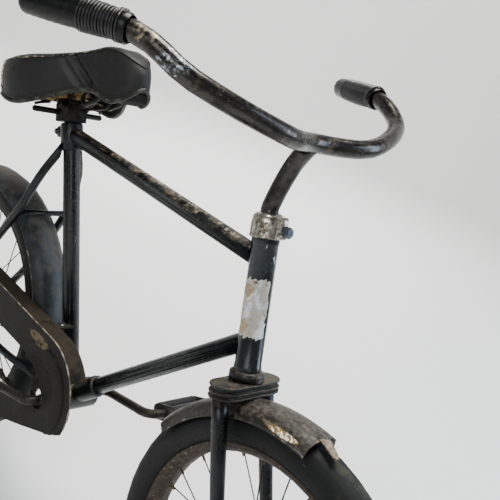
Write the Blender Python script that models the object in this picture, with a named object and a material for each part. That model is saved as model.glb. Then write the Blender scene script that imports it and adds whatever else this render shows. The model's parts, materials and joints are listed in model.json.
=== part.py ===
"""A child's bicycle: fixed frame, steering assembly, two wire wheels, one-piece crank and two pedals.

The sizes below are in metres, in the road frame: X forward from the crank axis, Y to the rider's
left, Z up from the road. The finished model is moved so that its origin is the rider's seat point.
"""

import math

import bmesh
import bpy
from mathutils import Matrix, Vector

SEAT_GAP = 0.0003  # between pieces that touch on the real bicycle
BEARING_GAP = 0.0007  # between a bearing and what turns on it

# wheels
WHEEL_RADIUS = 0.220
TYRE_RADIUS = 0.025
TYRE_SINK = 0.0085  # how far the tyre's round section reaches down over the rim
RIM_DEPTH = 0.013
RIM_WIDTH = 0.038
SPOKE_PAIRS = 14
SPOKE_RADIUS = 0.0011
SPOKE_LEAD = math.radians(62)  # round the hub, between a spoke's two ends
HUB_BARREL_RADIUS = 0.0115
FLANGE_RADIUS = 0.021
FLANGE_THICKNESS = 0.003
FRONT_FLANGE_OFFSET = 0.027
REAR_FLANGE_OFFSET = 0.026
AXLE_RADIUS = 0.0047
AXLE_BORE_GAP = 0.0006
NUT_RADIUS = 0.0085
NUT_HEIGHT = 0.008
AXLE_TIP = 0.005

# frame
FRONT_CENTRE = 0.400  # crank axis to front axle
REAR_CENTRE = 0.300  # crank axis to rear axle
BRACKET_HEIGHT = 0.221
HEAD_ANGLE = math.radians(73)
CROWN_CLEARANCE = 0.0043  # above the front mudguard, under the crown
FORK_RAKE = 0.0485
HEAD_LENGTH = 0.157
HEAD_RADIUS = 0.016
HEAD_BORE = 0.0128
MAIN_TUBE_RADIUS = 0.012
TOP_TUBE_DROP = 0.0260  # below the top of the head tube
DOWN_TUBE_RISE = 0.0370  # above the foot of the head tube
SEAT_ANGLE = math.radians(62.9)
SEAT_TUBE_LENGTH = 0.391
SEAT_TUBE_RADIUS = 0.0125
SEAT_TUBE_WALL = 0.0014
TOP_TUBE_BELOW_SEAT = 0.002
SEAT_LUG_RADIUS = 0.0165
SEAT_LUG_LENGTH = 0.040
SHELL_RADIUS = 0.0225
SHELL_BORE = 0.0195
SHELL_HALF_WIDTH = 0.034
BRACKET_LUG_RADIUS = 0.0160
BRACKET_LUG_REACH = 0.074  # along the down tube, from the crank axis
STAY_RADIUS = 0.0065
STAY_TIP_RADIUS = 0.0055
REAR_DROPOUT_OFFSET = 0.0525
DROPOUT_THICKNESS = 0.004
SLOT_WIDTH = 0.0102
BRIDGE_RADIUS = 0.0045

# head bearings, fork and crown
CUP_RADIUS = 0.0208
CUP_HEIGHT = 0.0120
STEERER_RADIUS = 0.0113
CROWN_HALF_LENGTH = 0.0525
CROWN_HALF_WIDTH = 0.0215
CROWN_LIP = 0.0045
BLADE_OFFSET = 0.0405
BLADE_TIP_OFFSET = 0.0455
BLADE_RADIUS = 0.0100
BLADE_TIP_RADIUS = 0.0065

# collar, stem and handlebar
COLLAR_RADIUS = 0.0200
COLLAR_HEIGHT = 0.029
STEM_RADIUS = 0.0108
BAR_RADIUS = 0.0110
BAR_FORWARD = 0.0471  # bar's centre from the steering axis
BAR_RISE = 0.1139  # bar's centre above the head tube, along the steering axis
BAR_SIDES = 14
GRIP_LENGTH = 0.112
GRIP_TIP = 0.0015  # rubber between the bar's end and the end of its axis
GRIP_RADIUS = 0.0155
GRIP_RIDGES = 12

# mudguards
GUARD_GAP = 0.0075  # tyre to the underside of the guard's ridge
GUARD_HALF_WIDTH = 0.029
GUARD_DROP = 0.019
GUARD_WALL = 0.0014
GUARD_EYE = 0.0025  # thickness of the guard stay's eye under the axle nut
GUARD_STAY_RADIUS = 0.0022
GUARD_BRIDGE_GAP = 0.0062  # round the wheel, from the low bridge to the rear guard's foot

# crank, chain and pedals
CHAIN_LINE = 0.040
CHAIN_PITCH = 0.0127
CHAINRING_TEETH = 24
SPROCKET_TEETH = 14
CHAIN_HEIGHT = 0.0082
CHAIN_WIDTH = 0.0080
CHAINRING_THICKNESS = 0.0024
CHAINRING_WINDOWS = 5
CRANK_LENGTH = 0.128
CRANK_ANGLE = math.radians(17.5)  # left crank, forward and up
CRANK_RADIUS = 0.0068
SPINDLE_RADIUS = 0.0080
CRANK_LEFT_Y = (0.0605, 0.0480)  # the arm's distance from the middle at its root and at its pedal
CRANK_RIGHT_Y = (0.0720, 0.0720)
CRANK_LEFT_BEND = 0.0215
CRANK_RIGHT_BEND = 0.0140
PEDAL_LENGTH = 0.076
PEDAL_WIDTH = 0.048
PEDAL_HEIGHT = 0.024
PEDAL_TILT = math.radians(25)  # front edge up
PEDAL_GAP = 0.0050

# chain guard
CASE_FACE_Y = 0.0560
CASE_BACK_Y = 0.0300
CASE_WALL = 0.0012
CASE_CENTRE = (-0.008, 0.015)  # of the front lobe, from the crank axis
CASE_LOBE = (0.081, 0.084)
CASE_BAND_END = 37  # degrees up from straight ahead, where the band stops
CASE_END_X = -0.773 * REAR_CENTRE
CASE_BRANCH = 0.045  # how deep the upper branch is, at the middle
CASE_WINDOW_RADIUS = 0.0135
CASE_TAB_EDGES = (-0.048, -0.034)  # ahead of the crank axis, back and front
CASE_TAB_THICKNESS = 0.003
CASE_TAB_REACH = 0.012  # past the band's inner edge
CLIP_BELOW_TAB = 0.030
CLIP_HEIGHT = 0.013
CLIP_AHEAD, CLIP_BEHIND = 0.026, 0.014  # of the seat stay
CLIP_THICKNESS = 0.0028
CUT_PAST = 0.1  # how far a cutter runs past what it cuts

# saddle
POST_RADIUS = 0.0108
POST_RISE = 0.034  # the saddle's base above the end of the seat tube
SADDLE_TILT = math.radians(22)
SADDLE_MIDDLE = 0.02  # the rider's place, ahead of the post
SADDLE_HEIGHT = 0.0720  # there, above the base
SADDLE_CEILING = 0.048  # the flat pan inside, above the base
SADDLE_BAR_RADIUS = 0.0045
SADDLE_BAR_HALF = 0.060
SADDLE_BAR_PLACE = (-0.009, -0.006)  # ahead of and above the base
SPRING_OFFSET = 0.046
SPRING_RADIUS = 0.0110
SPRING_WIRE = 0.0022
NOSE_WIRE = 0.0032
NOSE_WIRE_EYE = 0.0095

AXIS = Vector((-math.cos(HEAD_ANGLE), 0, math.sin(HEAD_ANGLE)))
AHEAD = Vector((math.sin(HEAD_ANGLE), 0, math.cos(HEAD_ANGLE)))
SIDE = Vector((0, 1, 0))
FRONT_AXLE = Vector((FRONT_CENTRE, 0, WHEEL_RADIUS))
REAR_AXLE = Vector((-REAR_CENTRE, 0, WHEEL_RADIUS))
BRACKET = Vector((0, 0, BRACKET_HEIGHT))
GUARD_RADIUS = WHEEL_RADIUS + GUARD_GAP + GUARD_WALL
CROWN_TOP = CUP_HEIGHT + BEARING_GAP
CROWN_LEVELS = (  # top and bottom below the crown's top, and how far the edge stands back
    (0.0, 0.0024, 0.0),
    (0.0018, 0.0082, CROWN_LIP),
    (0.0076, 0.0100, 0.0),
    (0.0094, 0.0140, CROWN_LIP),
    (0.0134, 0.0158, 0.0),
)
CROWN_BOTTOM = CROWN_TOP + CROWN_LEVELS[-1][1]
FORK_LENGTH = math.sqrt(GUARD_RADIUS**2 - FORK_RAKE**2) + CROWN_BOTTOM + CROWN_CLEARANCE
HEAD_FOOT = FRONT_AXLE + AXIS * FORK_LENGTH - AHEAD * FORK_RAKE
HEAD_TOP = HEAD_FOOT + AXIS * HEAD_LENGTH
SEAT_DIRECTION = Vector((-math.cos(SEAT_ANGLE), 0, math.sin(SEAT_ANGLE)))
SEAT_TOP = BRACKET + SEAT_DIRECTION * SEAT_TUBE_LENGTH
POST_TOP = SEAT_TOP + SEAT_DIRECTION * POST_RISE
BAR_CENTRE = HEAD_TOP + AHEAD * BAR_FORWARD + AXIS * BAR_RISE
LEFT_PEDAL = BRACKET + Vector((math.cos(CRANK_ANGLE), 0, math.sin(CRANK_ANGLE))) * CRANK_LENGTH
RIGHT_PEDAL = BRACKET * 2 - LEFT_PEDAL
SADDLE_AHEAD = Vector((math.cos(SADDLE_TILT), 0, math.sin(SADDLE_TILT)))
SADDLE_UP = Vector((-math.sin(SADDLE_TILT), 0, math.cos(SADDLE_TILT)))
RIDER = POST_TOP + SADDLE_AHEAD * SADDLE_MIDDLE + SADDLE_UP * SADDLE_HEIGHT


def pitch_radius(teeth):
    return CHAIN_PITCH / (2 * math.sin(math.pi / teeth))


# ---------------------------------------------------------------- scene, bodies and materials

for old in list(bpy.data.objects):
    bpy.data.objects.remove(old)

ROOT = bpy.data.objects.new("bicycle", None)
bpy.context.scene.collection.objects.link(ROOT)
ROOT.location = -RIDER
BODY_CENTRES = {}


def body(name, centre):
    """An empty on a joint's axis, which carries that body's pieces."""
    empty = bpy.data.objects.new(name, None)
    bpy.context.scene.collection.objects.link(empty)
    empty.parent = ROOT
    empty.location = centre
    BODY_CENTRES[name] = Vector(centre)
    return empty


BODIES = {
    name: body(name, centre)
    for name, centre in (
        ("frame_body", Vector((0, 0, 0))),
        ("steering_body", HEAD_FOOT),
        ("front_wheel_body", FRONT_AXLE),
        ("rear_wheel_body", REAR_AXLE),
        ("crank_body", BRACKET),
        ("left_pedal_body", LEFT_PEDAL),
        ("right_pedal_body", RIGHT_PEDAL),
    )
}

FINISHES = {  # linear base colour, roughness, metallic
    "black_paint": ((0.012, 0.014, 0.018), 0.45, 0.0),
    "worn_nickel": ((0.30, 0.27, 0.23), 0.38, 1.0),
    "dusty_guard": ((0.060, 0.052, 0.044), 0.60, 0.2),
    "rusted_rim": ((0.070, 0.045, 0.030), 0.65, 0.4),
    "dull_steel": ((0.16, 0.15, 0.14), 0.50, 1.0),
    "black_rubber": ((0.018, 0.021, 0.025), 0.75, 0.0),
    "black_leather": ((0.014, 0.014, 0.015), 0.50, 0.0),
    "oily_chain": ((0.040, 0.034, 0.028), 0.50, 0.8),
}


def finish(name, key):
    """The piece's own material."""
    colour, roughness, metallic = FINISHES[key]
    material = bpy.data.materials.new(name + "_" + key)
    material.use_nodes = True
    shader = material.node_tree.nodes["Principled BSDF"]
    shader.inputs["Base Color"].default_value = (*colour, 1)
    shader.inputs["Roughness"].default_value = roughness
    shader.inputs["Metallic"].default_value = metallic
    return material


def piece(name, bm, body_name, finish_key, smooth_angle=35):
    """Turns a mesh drawn in the road frame into an object that its body's empty carries."""
    bmesh.ops.recalc_face_normals(bm, faces=bm.faces)
    bmesh.ops.translate(bm, verts=bm.verts, vec=-BODY_CENTRES[body_name])
    mesh = bpy.data.meshes.new(name)
    bm.to_mesh(mesh)
    bm.free()
    mesh.shade_smooth()
    mesh.set_sharp_from_angle(angle=math.radians(smooth_angle))
    mesh.materials.append(finish(name, finish_key))
    made = bpy.data.objects.new(name, mesh)
    bpy.context.scene.collection.objects.link(made)
    made.parent = BODIES[body_name]
    return made


def tool(name, bm, body_name):
    """A hidden shape that a Boolean cuts with or joins on."""
    made = piece(name, bm, body_name, "dull_steel")
    made.hide_render = True
    made.display_type = "WIRE"
    return made


def combine(target, operation, name, bm, self_crossing=False):
    body_name = target.parent.name
    modifier = target.modifiers.new(name, "BOOLEAN")
    modifier.operation = operation
    modifier.solver = "EXACT"
    modifier.use_self = self_crossing
    modifier.object = tool(target.name + "_" + name, bm, body_name)


def cut(target, name, bm):
    combine(target, "DIFFERENCE", name, bm)


def join(target, name, bm, self_crossing=False):
    combine(target, "UNION", name, bm, self_crossing)


# ---------------------------------------------------------------- shapes


def polyline_frames(points):
    """Points along a path, each with its tangent and two cross directions that don't twist."""
    tangents = []
    for i, point in enumerate(points):
        before = points[max(i - 1, 0)]
        after = points[min(i + 1, len(points) - 1)]
        tangents.append((after - before).normalized())
    start = tangents[0]
    across = start.cross(SIDE)
    if across.length < 1e-3:
        across = start.cross(Vector((1, 0, 0)))
    across.normalize()
    frames = []
    for point, tangent in zip(points, tangents):
        across = (across - tangent * across.dot(tangent)).normalized()
        frames.append((point, tangent, across, tangent.cross(across)))
    return frames


def ring_surface(rings, closed=False):
    """A skin over rings of points. A ring of one point is a pole."""
    bm = bmesh.new()
    made = [[bm.verts.new(point) for point in ring] for ring in rings]
    pairs = list(zip(made, made[1:]))
    if closed:
        pairs.append((made[-1], made[0]))
    for first, second in pairs:
        count = max(len(first), len(second))
        for i in range(count):
            j = (i + 1) % count
            if len(first) == 1:
                bm.faces.new((first[0], second[i], second[j]))
            elif len(second) == 1:
                bm.faces.new((first[i], second[0], first[j]))
            else:
                bm.faces.new((first[i], second[i], second[j], first[j]))
    if not closed:
        for ring in (made[0], made[-1]):
            if len(ring) > 2:
                bm.faces.new(ring)
    return bm


def rod(points, radii, sides=14):
    """A round bar along a path, with one radius or one for each point."""
    if not isinstance(radii, (list, tuple)):
        radii = [radii] * len(points)
    rings = []
    for (point, _, across, other), radius in zip(polyline_frames(points), radii):
        rings.append(
            [
                point + (across * math.cos(a) + other * math.sin(a)) * radius
                for a in (2 * math.pi * i / sides for i in range(sides))
            ]
        )
    return ring_surface(rings)


def turned(profile, base, axis, sides=32, closed=False, start_angle=0.0):
    """A turned shape: the profile's points are (height along the axis, radius)."""
    axis = axis.normalized()
    across = axis.cross(SIDE if abs(axis.dot(SIDE)) < 0.9 else Vector((1, 0, 0))).normalized()
    other = axis.cross(across)
    rings = []
    for height, radius in profile:
        if radius == 0:
            rings.append([base + axis * height])
            continue
        rings.append(
            [
                base + axis * height + (across * math.cos(a) + other * math.sin(a)) * radius
                for a in (start_angle + 2 * math.pi * i / sides for i in range(sides))
            ]
        )
    return ring_surface(rings, closed)


def cylinder(base, axis, length, radius, sides=32):
    return turned([(0, radius), (length, radius)], base, axis, sides)


def prism(outline, origin, u, v, depth):
    """A flat outline of (u, v) points, thickened equally to both sides."""
    normal = u.cross(v).normalized()
    rings = [
        [origin + u * a + v * b + normal * side * depth / 2 for a, b in outline]
        for side in (-1, 1)
    ]
    return ring_surface(rings)


def arc(centre, radius, start, end, steps):
    """Points of an arc in the plane, angles in degrees."""
    return [
        (
            centre[0] + radius * math.cos(math.radians(start + (end - start) * i / steps)),
            centre[1] + radius * math.sin(math.radians(start + (end - start) * i / steps)),
        )
        for i in range(steps + 1)
    ]


def smooth_path(points, steps=6):
    """A smooth curve through the points."""
    points = [Vector(p) for p in points]
    ends = [points[0] * 2 - points[1], *points, points[-1] * 2 - points[-2]]
    path = []
    for a, b, c, d in zip(ends, ends[1:], ends[2:], ends[3:]):
        for i in range(steps):
            t = i / steps
            path.append(
                (
                    b * 2
                    + (c - a) * t
                    + (a * 2 - b * 5 + c * 4 - d) * t**2
                    + (b * 3 - a - c * 3 + d) * t**3
                )
                / 2
            )
    return path + [points[-1]]


def rounded_path(points, radius, steps=6):
    """Straight runs with each corner rounded to a radius."""
    points = [Vector(p) for p in points]
    path = [points[0]]
    for before, corner, after in zip(points, points[1:], points[2:]):
        back = (before - corner).normalized()
        ahead = (after - corner).normalized()
        half = math.acos(max(-1, min(1, back.dot(ahead)))) / 2
        reach = radius / math.tan(half)
        centre = corner + (back + ahead).normalized() * (radius / math.sin(half))
        first, last = corner + back * reach, corner + ahead * reach
        spoke_a, spoke_b = first - centre, last - centre
        sweep = spoke_a.angle(spoke_b)
        normal = spoke_a.cross(spoke_b)
        for i in range(steps + 1):
            path.append(centre + Matrix.Rotation(sweep * i / steps, 3, normal) @ spoke_a)
    return path + [points[-1]]


def around(angle, radius):
    """A step out from a Y axis, the angle counted up from straight ahead."""
    return Vector((math.cos(angle), 0, math.sin(angle))) * radius


def add_to(bm, other):
    """Puts another loose shape into the first mesh."""
    mesh = bpy.data.meshes.new("part")
    other.to_mesh(mesh)
    other.free()
    bm.from_mesh(mesh)
    bpy.data.meshes.remove(mesh)


# ---------------------------------------------------------------- frame


def build_head_tube():
    profile = [
        (0, HEAD_BORE),
        (0, HEAD_RADIUS + 0.0006),
        (0.006, HEAD_RADIUS + 0.0006),
        (0.007, HEAD_RADIUS),
        (HEAD_LENGTH - 0.007, HEAD_RADIUS),
        (HEAD_LENGTH - 0.006, HEAD_RADIUS + 0.0006),
        (HEAD_LENGTH, HEAD_RADIUS + 0.0006),
        (HEAD_LENGTH, HEAD_BORE),
    ]
    piece("head_tube", turned(profile, HEAD_FOOT, AXIS, 28, closed=True), "frame_body", "black_paint")
    lower = [
        (-SEAT_GAP, STEERER_RADIUS + 0.001),
        (-SEAT_GAP, CUP_RADIUS - 0.002),
        (-0.002, CUP_RADIUS),
        (-CUP_HEIGHT + 0.001, CUP_RADIUS + 0.0006),
        (-CUP_HEIGHT, CUP_RADIUS - 0.001),
        (-CUP_HEIGHT, STEERER_RADIUS + 0.001),
    ]
    piece(
        "lower_head_cup", turned(lower, HEAD_FOOT, AXIS, 28, closed=True), "frame_body", "black_paint"
    )


def head_clearance():
    reach = 0.03
    return cylinder(
        HEAD_FOOT - AXIS * reach, AXIS, HEAD_LENGTH + 2 * reach, HEAD_RADIUS + 0.0006 + SEAT_GAP
    )


def shell_clearance():
    return cylinder(BRACKET - SIDE * 0.06, SIDE, 0.12, SHELL_RADIUS + SEAT_GAP)


def build_main_tubes():
    joint = HEAD_TOP - AXIS * TOP_TUBE_DROP
    seat_end = SEAT_TOP - SEAT_DIRECTION * TOP_TUBE_BELOW_SEAT
    top = piece("top_tube", rod([seat_end, joint], MAIN_TUBE_RADIUS, 24), "frame_body", "black_paint")
    cut(top, "head", head_clearance())
    cut(
        top,
        "seat_lug",
        cylinder(
            SEAT_TOP - SEAT_DIRECTION * 0.06, SEAT_DIRECTION, 0.12, SEAT_LUG_RADIUS + SEAT_GAP
        ),
    )
    joint = HEAD_FOOT + AXIS * DOWN_TUBE_RISE
    down = piece("down_tube", rod([BRACKET, joint], MAIN_TUBE_RADIUS, 24), "frame_body", "black_paint")
    cut(down, "head", head_clearance())
    cut(down, "shell", shell_clearance())
    profile = [
        (0, SEAT_TUBE_RADIUS - SEAT_TUBE_WALL),
        (0, SEAT_TUBE_RADIUS),
        (SEAT_TUBE_LENGTH + 0.012, SEAT_TUBE_RADIUS),
        (SEAT_TUBE_LENGTH + 0.012, SEAT_TUBE_RADIUS - SEAT_TUBE_WALL),
    ]
    seat = piece(
        "seat_tube", turned(profile, BRACKET, SEAT_DIRECTION, 24, closed=True), "frame_body", "black_paint"
    )
    cut(seat, "shell", shell_clearance())


def build_bracket_shell():
    profile = [
        (-SHELL_HALF_WIDTH, SHELL_BORE),
        (-SHELL_HALF_WIDTH, SHELL_RADIUS),
        (SHELL_HALF_WIDTH, SHELL_RADIUS),
        (SHELL_HALF_WIDTH, SHELL_BORE),
    ]
    piece("bracket_shell", turned(profile, BRACKET, SIDE, 28, closed=True), "frame_body", "black_paint")
    along = (HEAD_FOOT + AXIS * DOWN_TUBE_RISE - BRACKET).normalized()
    bore = MAIN_TUBE_RADIUS + SEAT_GAP
    start, reach, radius = 1.4 * SHELL_RADIUS, BRACKET_LUG_REACH, BRACKET_LUG_RADIUS
    profile = [
        (start, bore),
        (start, radius),
        (reach - 0.008, radius),
        (reach - 0.003, radius - 0.0010),
        (reach, radius - 0.0028),
        (reach, bore),
    ]
    lug = turned(profile, BRACKET, along, 24, closed=True)
    piece("bracket_lug", lug, "frame_body", "black_paint")
    bore = SPINDLE_RADIUS + BEARING_GAP
    for name, way in (("left_bracket_cup", 1), ("right_bracket_cup", -1)):
        start = SHELL_HALF_WIDTH - 0.010
        profile = [
            (start, bore),
            (start, SHELL_BORE - SEAT_GAP),
            (SHELL_HALF_WIDTH + SEAT_GAP, SHELL_BORE - SEAT_GAP),
            (SHELL_HALF_WIDTH + SEAT_GAP, SHELL_RADIUS - 0.001),
            (SHELL_HALF_WIDTH + 0.0025, SHELL_RADIUS - 0.002),
            (SHELL_HALF_WIDTH + 0.0045, SPINDLE_RADIUS + 0.004),
            (SHELL_HALF_WIDTH + 0.0045, bore),
        ]
        piece(name, turned(profile, BRACKET, SIDE * way, 16, closed=True), "frame_body", "dull_steel")


def build_seat_lug():
    half = SEAT_LUG_LENGTH / 2
    bore = SEAT_TUBE_RADIUS + SEAT_GAP
    profile = [
        (-half, bore),
        (-half, SEAT_LUG_RADIUS - 0.001),
        (-half + 0.002, SEAT_LUG_RADIUS),
        (half - 0.002, SEAT_LUG_RADIUS),
        (half, SEAT_LUG_RADIUS - 0.001),
        (half, bore),
    ]
    middle = SEAT_TOP - SEAT_DIRECTION * 0.008
    lug = piece(
        "seat_lug", turned(profile, middle, SEAT_DIRECTION, 28, closed=True), "frame_body", "black_paint"
    )
    behind = Vector((-math.sin(SEAT_ANGLE), 0, -math.cos(SEAT_ANGLE)))
    ears = middle + SEAT_DIRECTION * 0.010 + behind * (SEAT_LUG_RADIUS + 0.004)
    outline = [(-0.006, -0.008), (0.004, -0.008), (0.008, -0.003), (0.008, 0.003), (0.004, 0.008), (-0.006, 0.008)]
    join(lug, "ears", prism(outline, ears, behind, SEAT_DIRECTION, 0.016))
    join(lug, "bolt", cylinder(ears - SIDE * 0.014, SIDE, 0.028, 0.0045, 12))


def stay_end_plate(side):
    """The fork end that a rear stay carries, with its slot open to the rear."""
    centre = REAR_AXLE + SIDE * side * REAR_DROPOUT_OFFSET
    outline = [
        (0.034, -0.007),
        (0.034, 0.007),
        (0.016, 0.013),
        (0.010, 0.019),
        (-0.002, 0.019),
        (-0.008, 0.013),
        (-0.012, 0.010),
        (-0.012, -0.010),
        (-0.006, -0.014),
        (0.010, -0.014),
    ]
    return prism(outline, centre, Vector((1, 0, 0)), Vector((0, 0, 1)), DROPOUT_THICKNESS)


def axle_slot(axle, offset, side, ahead, up):
    """A cutter for the slot that an axle lies in: round at the axle, open behind it."""
    half = SLOT_WIDTH / 2
    outline = [(-0.03, half), *arc((0, 0), half, 90, -90, 8), (-0.03, -half)]
    return prism(outline, axle + SIDE * side * offset, ahead, up, 0.03)


SEAT_STAY_BOW = (  # share of the way down, how far ahead of the straight line, distance aside
    (0.155, 0.0150, 0.0310),
    (0.290, 0.0230, 0.0385),
    (0.400, 0.0280, 0.0430),
    (0.757, 0.0180, 0.0500),
)
CHAIN_STAY_BOW = (  # share of the way back, distance aside, share of the way down
    (0.13, 0.0265, 0.3),
    (0.26, 0.0295, 0.5),
    (0.367, 0.0400, 0.7),
    (0.567, 0.0475, 0.9),
)


def seat_stay_path(side):
    top = SEAT_TOP - SEAT_DIRECTION * 0.018 + SIDE * side * 0.010
    foot = REAR_AXLE + Vector((0.002, side * REAR_DROPOUT_OFFSET, 0.0225))
    path = [top]
    for share, ahead, aside in SEAT_STAY_BOW:
        spot = top.lerp(foot, share) + Vector((ahead, 0, 0))
        spot.y = side * aside
        path.append(spot)
    return smooth_path([*path, foot], 3)


def chain_stay_path(side):
    high, low = BRACKET_HEIGHT - 0.003, WHEEL_RADIUS
    path = [(0.0, side * 0.024, high)]
    for share, aside, drop in CHAIN_STAY_BOW:
        path.append((-REAR_CENTRE * share, side * aside, high + (low - high) * drop))
    path.append((-REAR_CENTRE + 0.024, side * REAR_DROPOUT_OFFSET, low))
    return smooth_path(path, 3)


def build_stays():
    ahead, up = Vector((1, 0, 0)), Vector((0, 0, 1))
    for name, side in (("left", 1), ("right", -1)):
        path = chain_stay_path(side)
        last = len(path) - 1
        radii = [STAY_RADIUS + (STAY_TIP_RADIUS - STAY_RADIUS) * i / last for i in range(last + 1)]
        stay = piece("chain_stay_" + name, rod(path, radii, 10), "frame_body", "black_paint")
        cut(stay, "shell", shell_clearance())
        join(stay, "end_plate", stay_end_plate(side))
        cut(stay, "slot", axle_slot(REAR_AXLE, REAR_DROPOUT_OFFSET, side, ahead, up))

        stay = piece("seat_stay_" + name, rod(seat_stay_path(side), STAY_RADIUS, 10), "frame_body", "black_paint")
        cut(
            stay,
            "lug",
            cylinder(SEAT_TOP - SEAT_DIRECTION * 0.1, SEAT_DIRECTION, 0.2, SEAT_LUG_RADIUS + SEAT_GAP),
        )
        plate_top = 0.019 + SEAT_GAP
        corners = [(-0.03, -0.03), (0.03, -0.03), (0.03, plate_top), (-0.03, plate_top)]
        cut(stay, "end", prism(corners, REAR_AXLE + SIDE * side * REAR_DROPOUT_OFFSET, ahead, up, 0.03))


def where_it_passes(path, radius):
    """Where a stay's path crosses a circle about the rear axle."""
    spots = [((Vector((p.x, 0, p.z)) - REAR_AXLE).length, p) for p in path]
    for (far, a), (near, b) in zip(spots, spots[1:]):
        if (far - radius) * (near - radius) <= 0:
            return a.lerp(b, (far - radius) / (far - near))


def bridge(name, path_of, radius_from_axle):
    """A rod from one rear stay to the other, cut to fit both."""
    spot = where_it_passes(path_of(1), radius_from_axle)
    ends = [Vector((spot.x, side * spot.y, spot.z)) for side in (-1, 1)]
    made = piece(name, rod(ends, BRIDGE_RADIUS, 12), "frame_body", "black_paint")
    for side_name, side in (("left", 1), ("right", -1)):
        cut(made, side_name, rod(path_of(side), STAY_RADIUS + SEAT_GAP, 10))


LOW_BRIDGE_RADIUS = WHEEL_RADIUS + 2 * BRIDGE_RADIUS


def build_bridges():
    bridge("seat_stay_bridge", seat_stay_path, GUARD_RADIUS + SEAT_GAP + BRIDGE_RADIUS)
    bridge("chain_stay_bridge", chain_stay_path, LOW_BRIDGE_RADIUS)


# ---------------------------------------------------------------- fork and steering


def crown_plate(depth_from, depth_to, inset):
    """A slab of the crown with round ends, between two depths below the head tube."""
    half = CROWN_HALF_WIDTH - inset
    straight = CROWN_HALF_LENGTH - CROWN_HALF_WIDTH
    outline = arc((straight, 0), half, -90, 90, 8) + arc((-straight, 0), half, 90, 270, 8)
    middle = HEAD_FOOT - AXIS * (depth_from + depth_to) / 2
    return prism(outline, middle, SIDE, AHEAD, depth_to - depth_from)


def build_fork():
    top, bottom, inset = CROWN_LEVELS[0]
    crown = piece(
        "fork_crown", crown_plate(CROWN_TOP + top, CROWN_TOP + bottom, inset), "steering_body", "black_paint"
    )
    for index, (top, bottom, inset) in enumerate(CROWN_LEVELS[1:]):
        join(crown, f"level_{index}", crown_plate(CROWN_TOP + top, CROWN_TOP + bottom, inset))
    length = HEAD_LENGTH + CROWN_TOP + 0.012
    join(crown, "steerer", cylinder(HEAD_FOOT - AXIS * (CROWN_TOP + 0.001), AXIS, length, STEERER_RADIUS))
    cut(
        crown,
        "guard",
        cylinder(
            FRONT_AXLE - SIDE * (GUARD_HALF_WIDTH + 0.002),
            SIDE,
            2 * GUARD_HALF_WIDTH + 0.004,
            GUARD_RADIUS + SEAT_GAP,
            96,
        ),
    )
    for name, side in (("left", 1), ("right", -1)):
        top = HEAD_FOOT - AXIS * (CROWN_BOTTOM + SEAT_GAP) + SIDE * side * BLADE_OFFSET
        end = FRONT_AXLE + SIDE * side * BLADE_TIP_OFFSET
        along = end - top
        bend = [
            top,
            top + along * 0.35 - AHEAD * 0.004,
            top + along * 0.7 - AHEAD * 0.006,
            end + (top - end).normalized() * 0.016,
        ]
        path = smooth_path(bend, 3)
        count = len(path)
        radii = [
            BLADE_RADIUS + (BLADE_TIP_RADIUS - BLADE_RADIUS) * (i / (count - 1)) ** 1.3 for i in range(count)
        ]
        blade = piece("fork_blade_" + name, rod(path, radii, 14), "steering_body", "black_paint")
        cut(
            blade,
            "crown",
            crown_plate(CROWN_TOP, CROWN_BOTTOM + SEAT_GAP, -0.01),
        )
        outline = [(-0.010, -0.004), (-0.007, -0.009), (0.007, -0.009), (0.010, -0.004), (0.009, 0.022), (-0.009, 0.022)]
        lean = (top - end)
        lean.y = 0
        lean.normalize()
        ahead = SIDE.cross(lean)
        join(blade, "end_plate", prism(outline, end, ahead, lean, DROPOUT_THICKNESS))
        cut(blade, "slot", axle_slot(FRONT_AXLE, BLADE_TIP_OFFSET, side, lean, -ahead))


def build_collar():
    """The clamp on top of the head: a domed sleeve, split behind its pinch bolt."""
    base = HEAD_TOP + AXIS * BEARING_GAP
    bore = STEERER_RADIUS + SEAT_GAP
    neck = STEM_RADIUS + 2 * SEAT_GAP
    profile = [
        (0, bore),
        (0, COLLAR_RADIUS),
        (COLLAR_HEIGHT * 0.74, COLLAR_RADIUS),
        (COLLAR_HEIGHT * 0.90, COLLAR_RADIUS - 0.0022),
        (COLLAR_HEIGHT * 0.985, COLLAR_RADIUS - 0.0055),
        (COLLAR_HEIGHT, neck + 0.001),
        (COLLAR_HEIGHT, neck),
        (0.0125, neck),
        (0.0125, bore),
    ]
    collar = piece("head_collar", turned(profile, base, AXIS, 24, closed=True), "steering_body", "worn_nickel")
    ears = base + AXIS * 0.0125 + AHEAD * (COLLAR_RADIUS + 0.005)
    outline = [
        (-0.009, -0.012),
        (0.0065, -0.012),
        (0.0095, -0.009),
        (0.0095, 0.009),
        (0.0065, 0.012),
        (-0.009, 0.012),
    ]
    bolt = ears + AHEAD * 0.0038
    join(collar, "ears", prism(outline, ears, AHEAD, AXIS, 0.015))
    cut(collar, "split", prism([(-0.02, -0.02), (0.02, -0.02), (0.02, 0.02), (-0.02, 0.02)], ears, AHEAD, AXIS, 0.0025))
    cut(collar, "bolt_hole", cylinder(bolt - SIDE * 0.02, SIDE, 0.04, 0.0040, 16))
    profile = [
        (-0.0085, 0),
        (-0.0085, 0.0028),
        (-0.0075, 0.0034),
        (0.0078, 0.0034),
        (0.0078, 0.0065),
        (0.0118, 0.0065),
        (0.0128, 0.0055),
        (0.0128, 0),
    ]
    piece(
        "collar_bolt", turned(profile, bolt, -SIDE, 12), "steering_body", "dull_steel", 25
    )


BAR_HALF = (  # forward, left and up from the bar's centre, towards the left grip
    (0.0201, 0.0799, 0.0095),
    (-0.0192, 0.1790, 0.0325),
    (-0.0816, 0.2125, 0.0530),
    (-0.1836, 0.2629, 0.0430),
)


def bar_path(steps=4):
    left = [Vector(p) for p in BAR_HALF]
    right = [Vector((p.x, -p.y, p.z)) for p in reversed(left)]
    return [BAR_CENTRE + p for p in smooth_path([*right, Vector((0, 0, 0)), *left], steps)]


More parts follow.
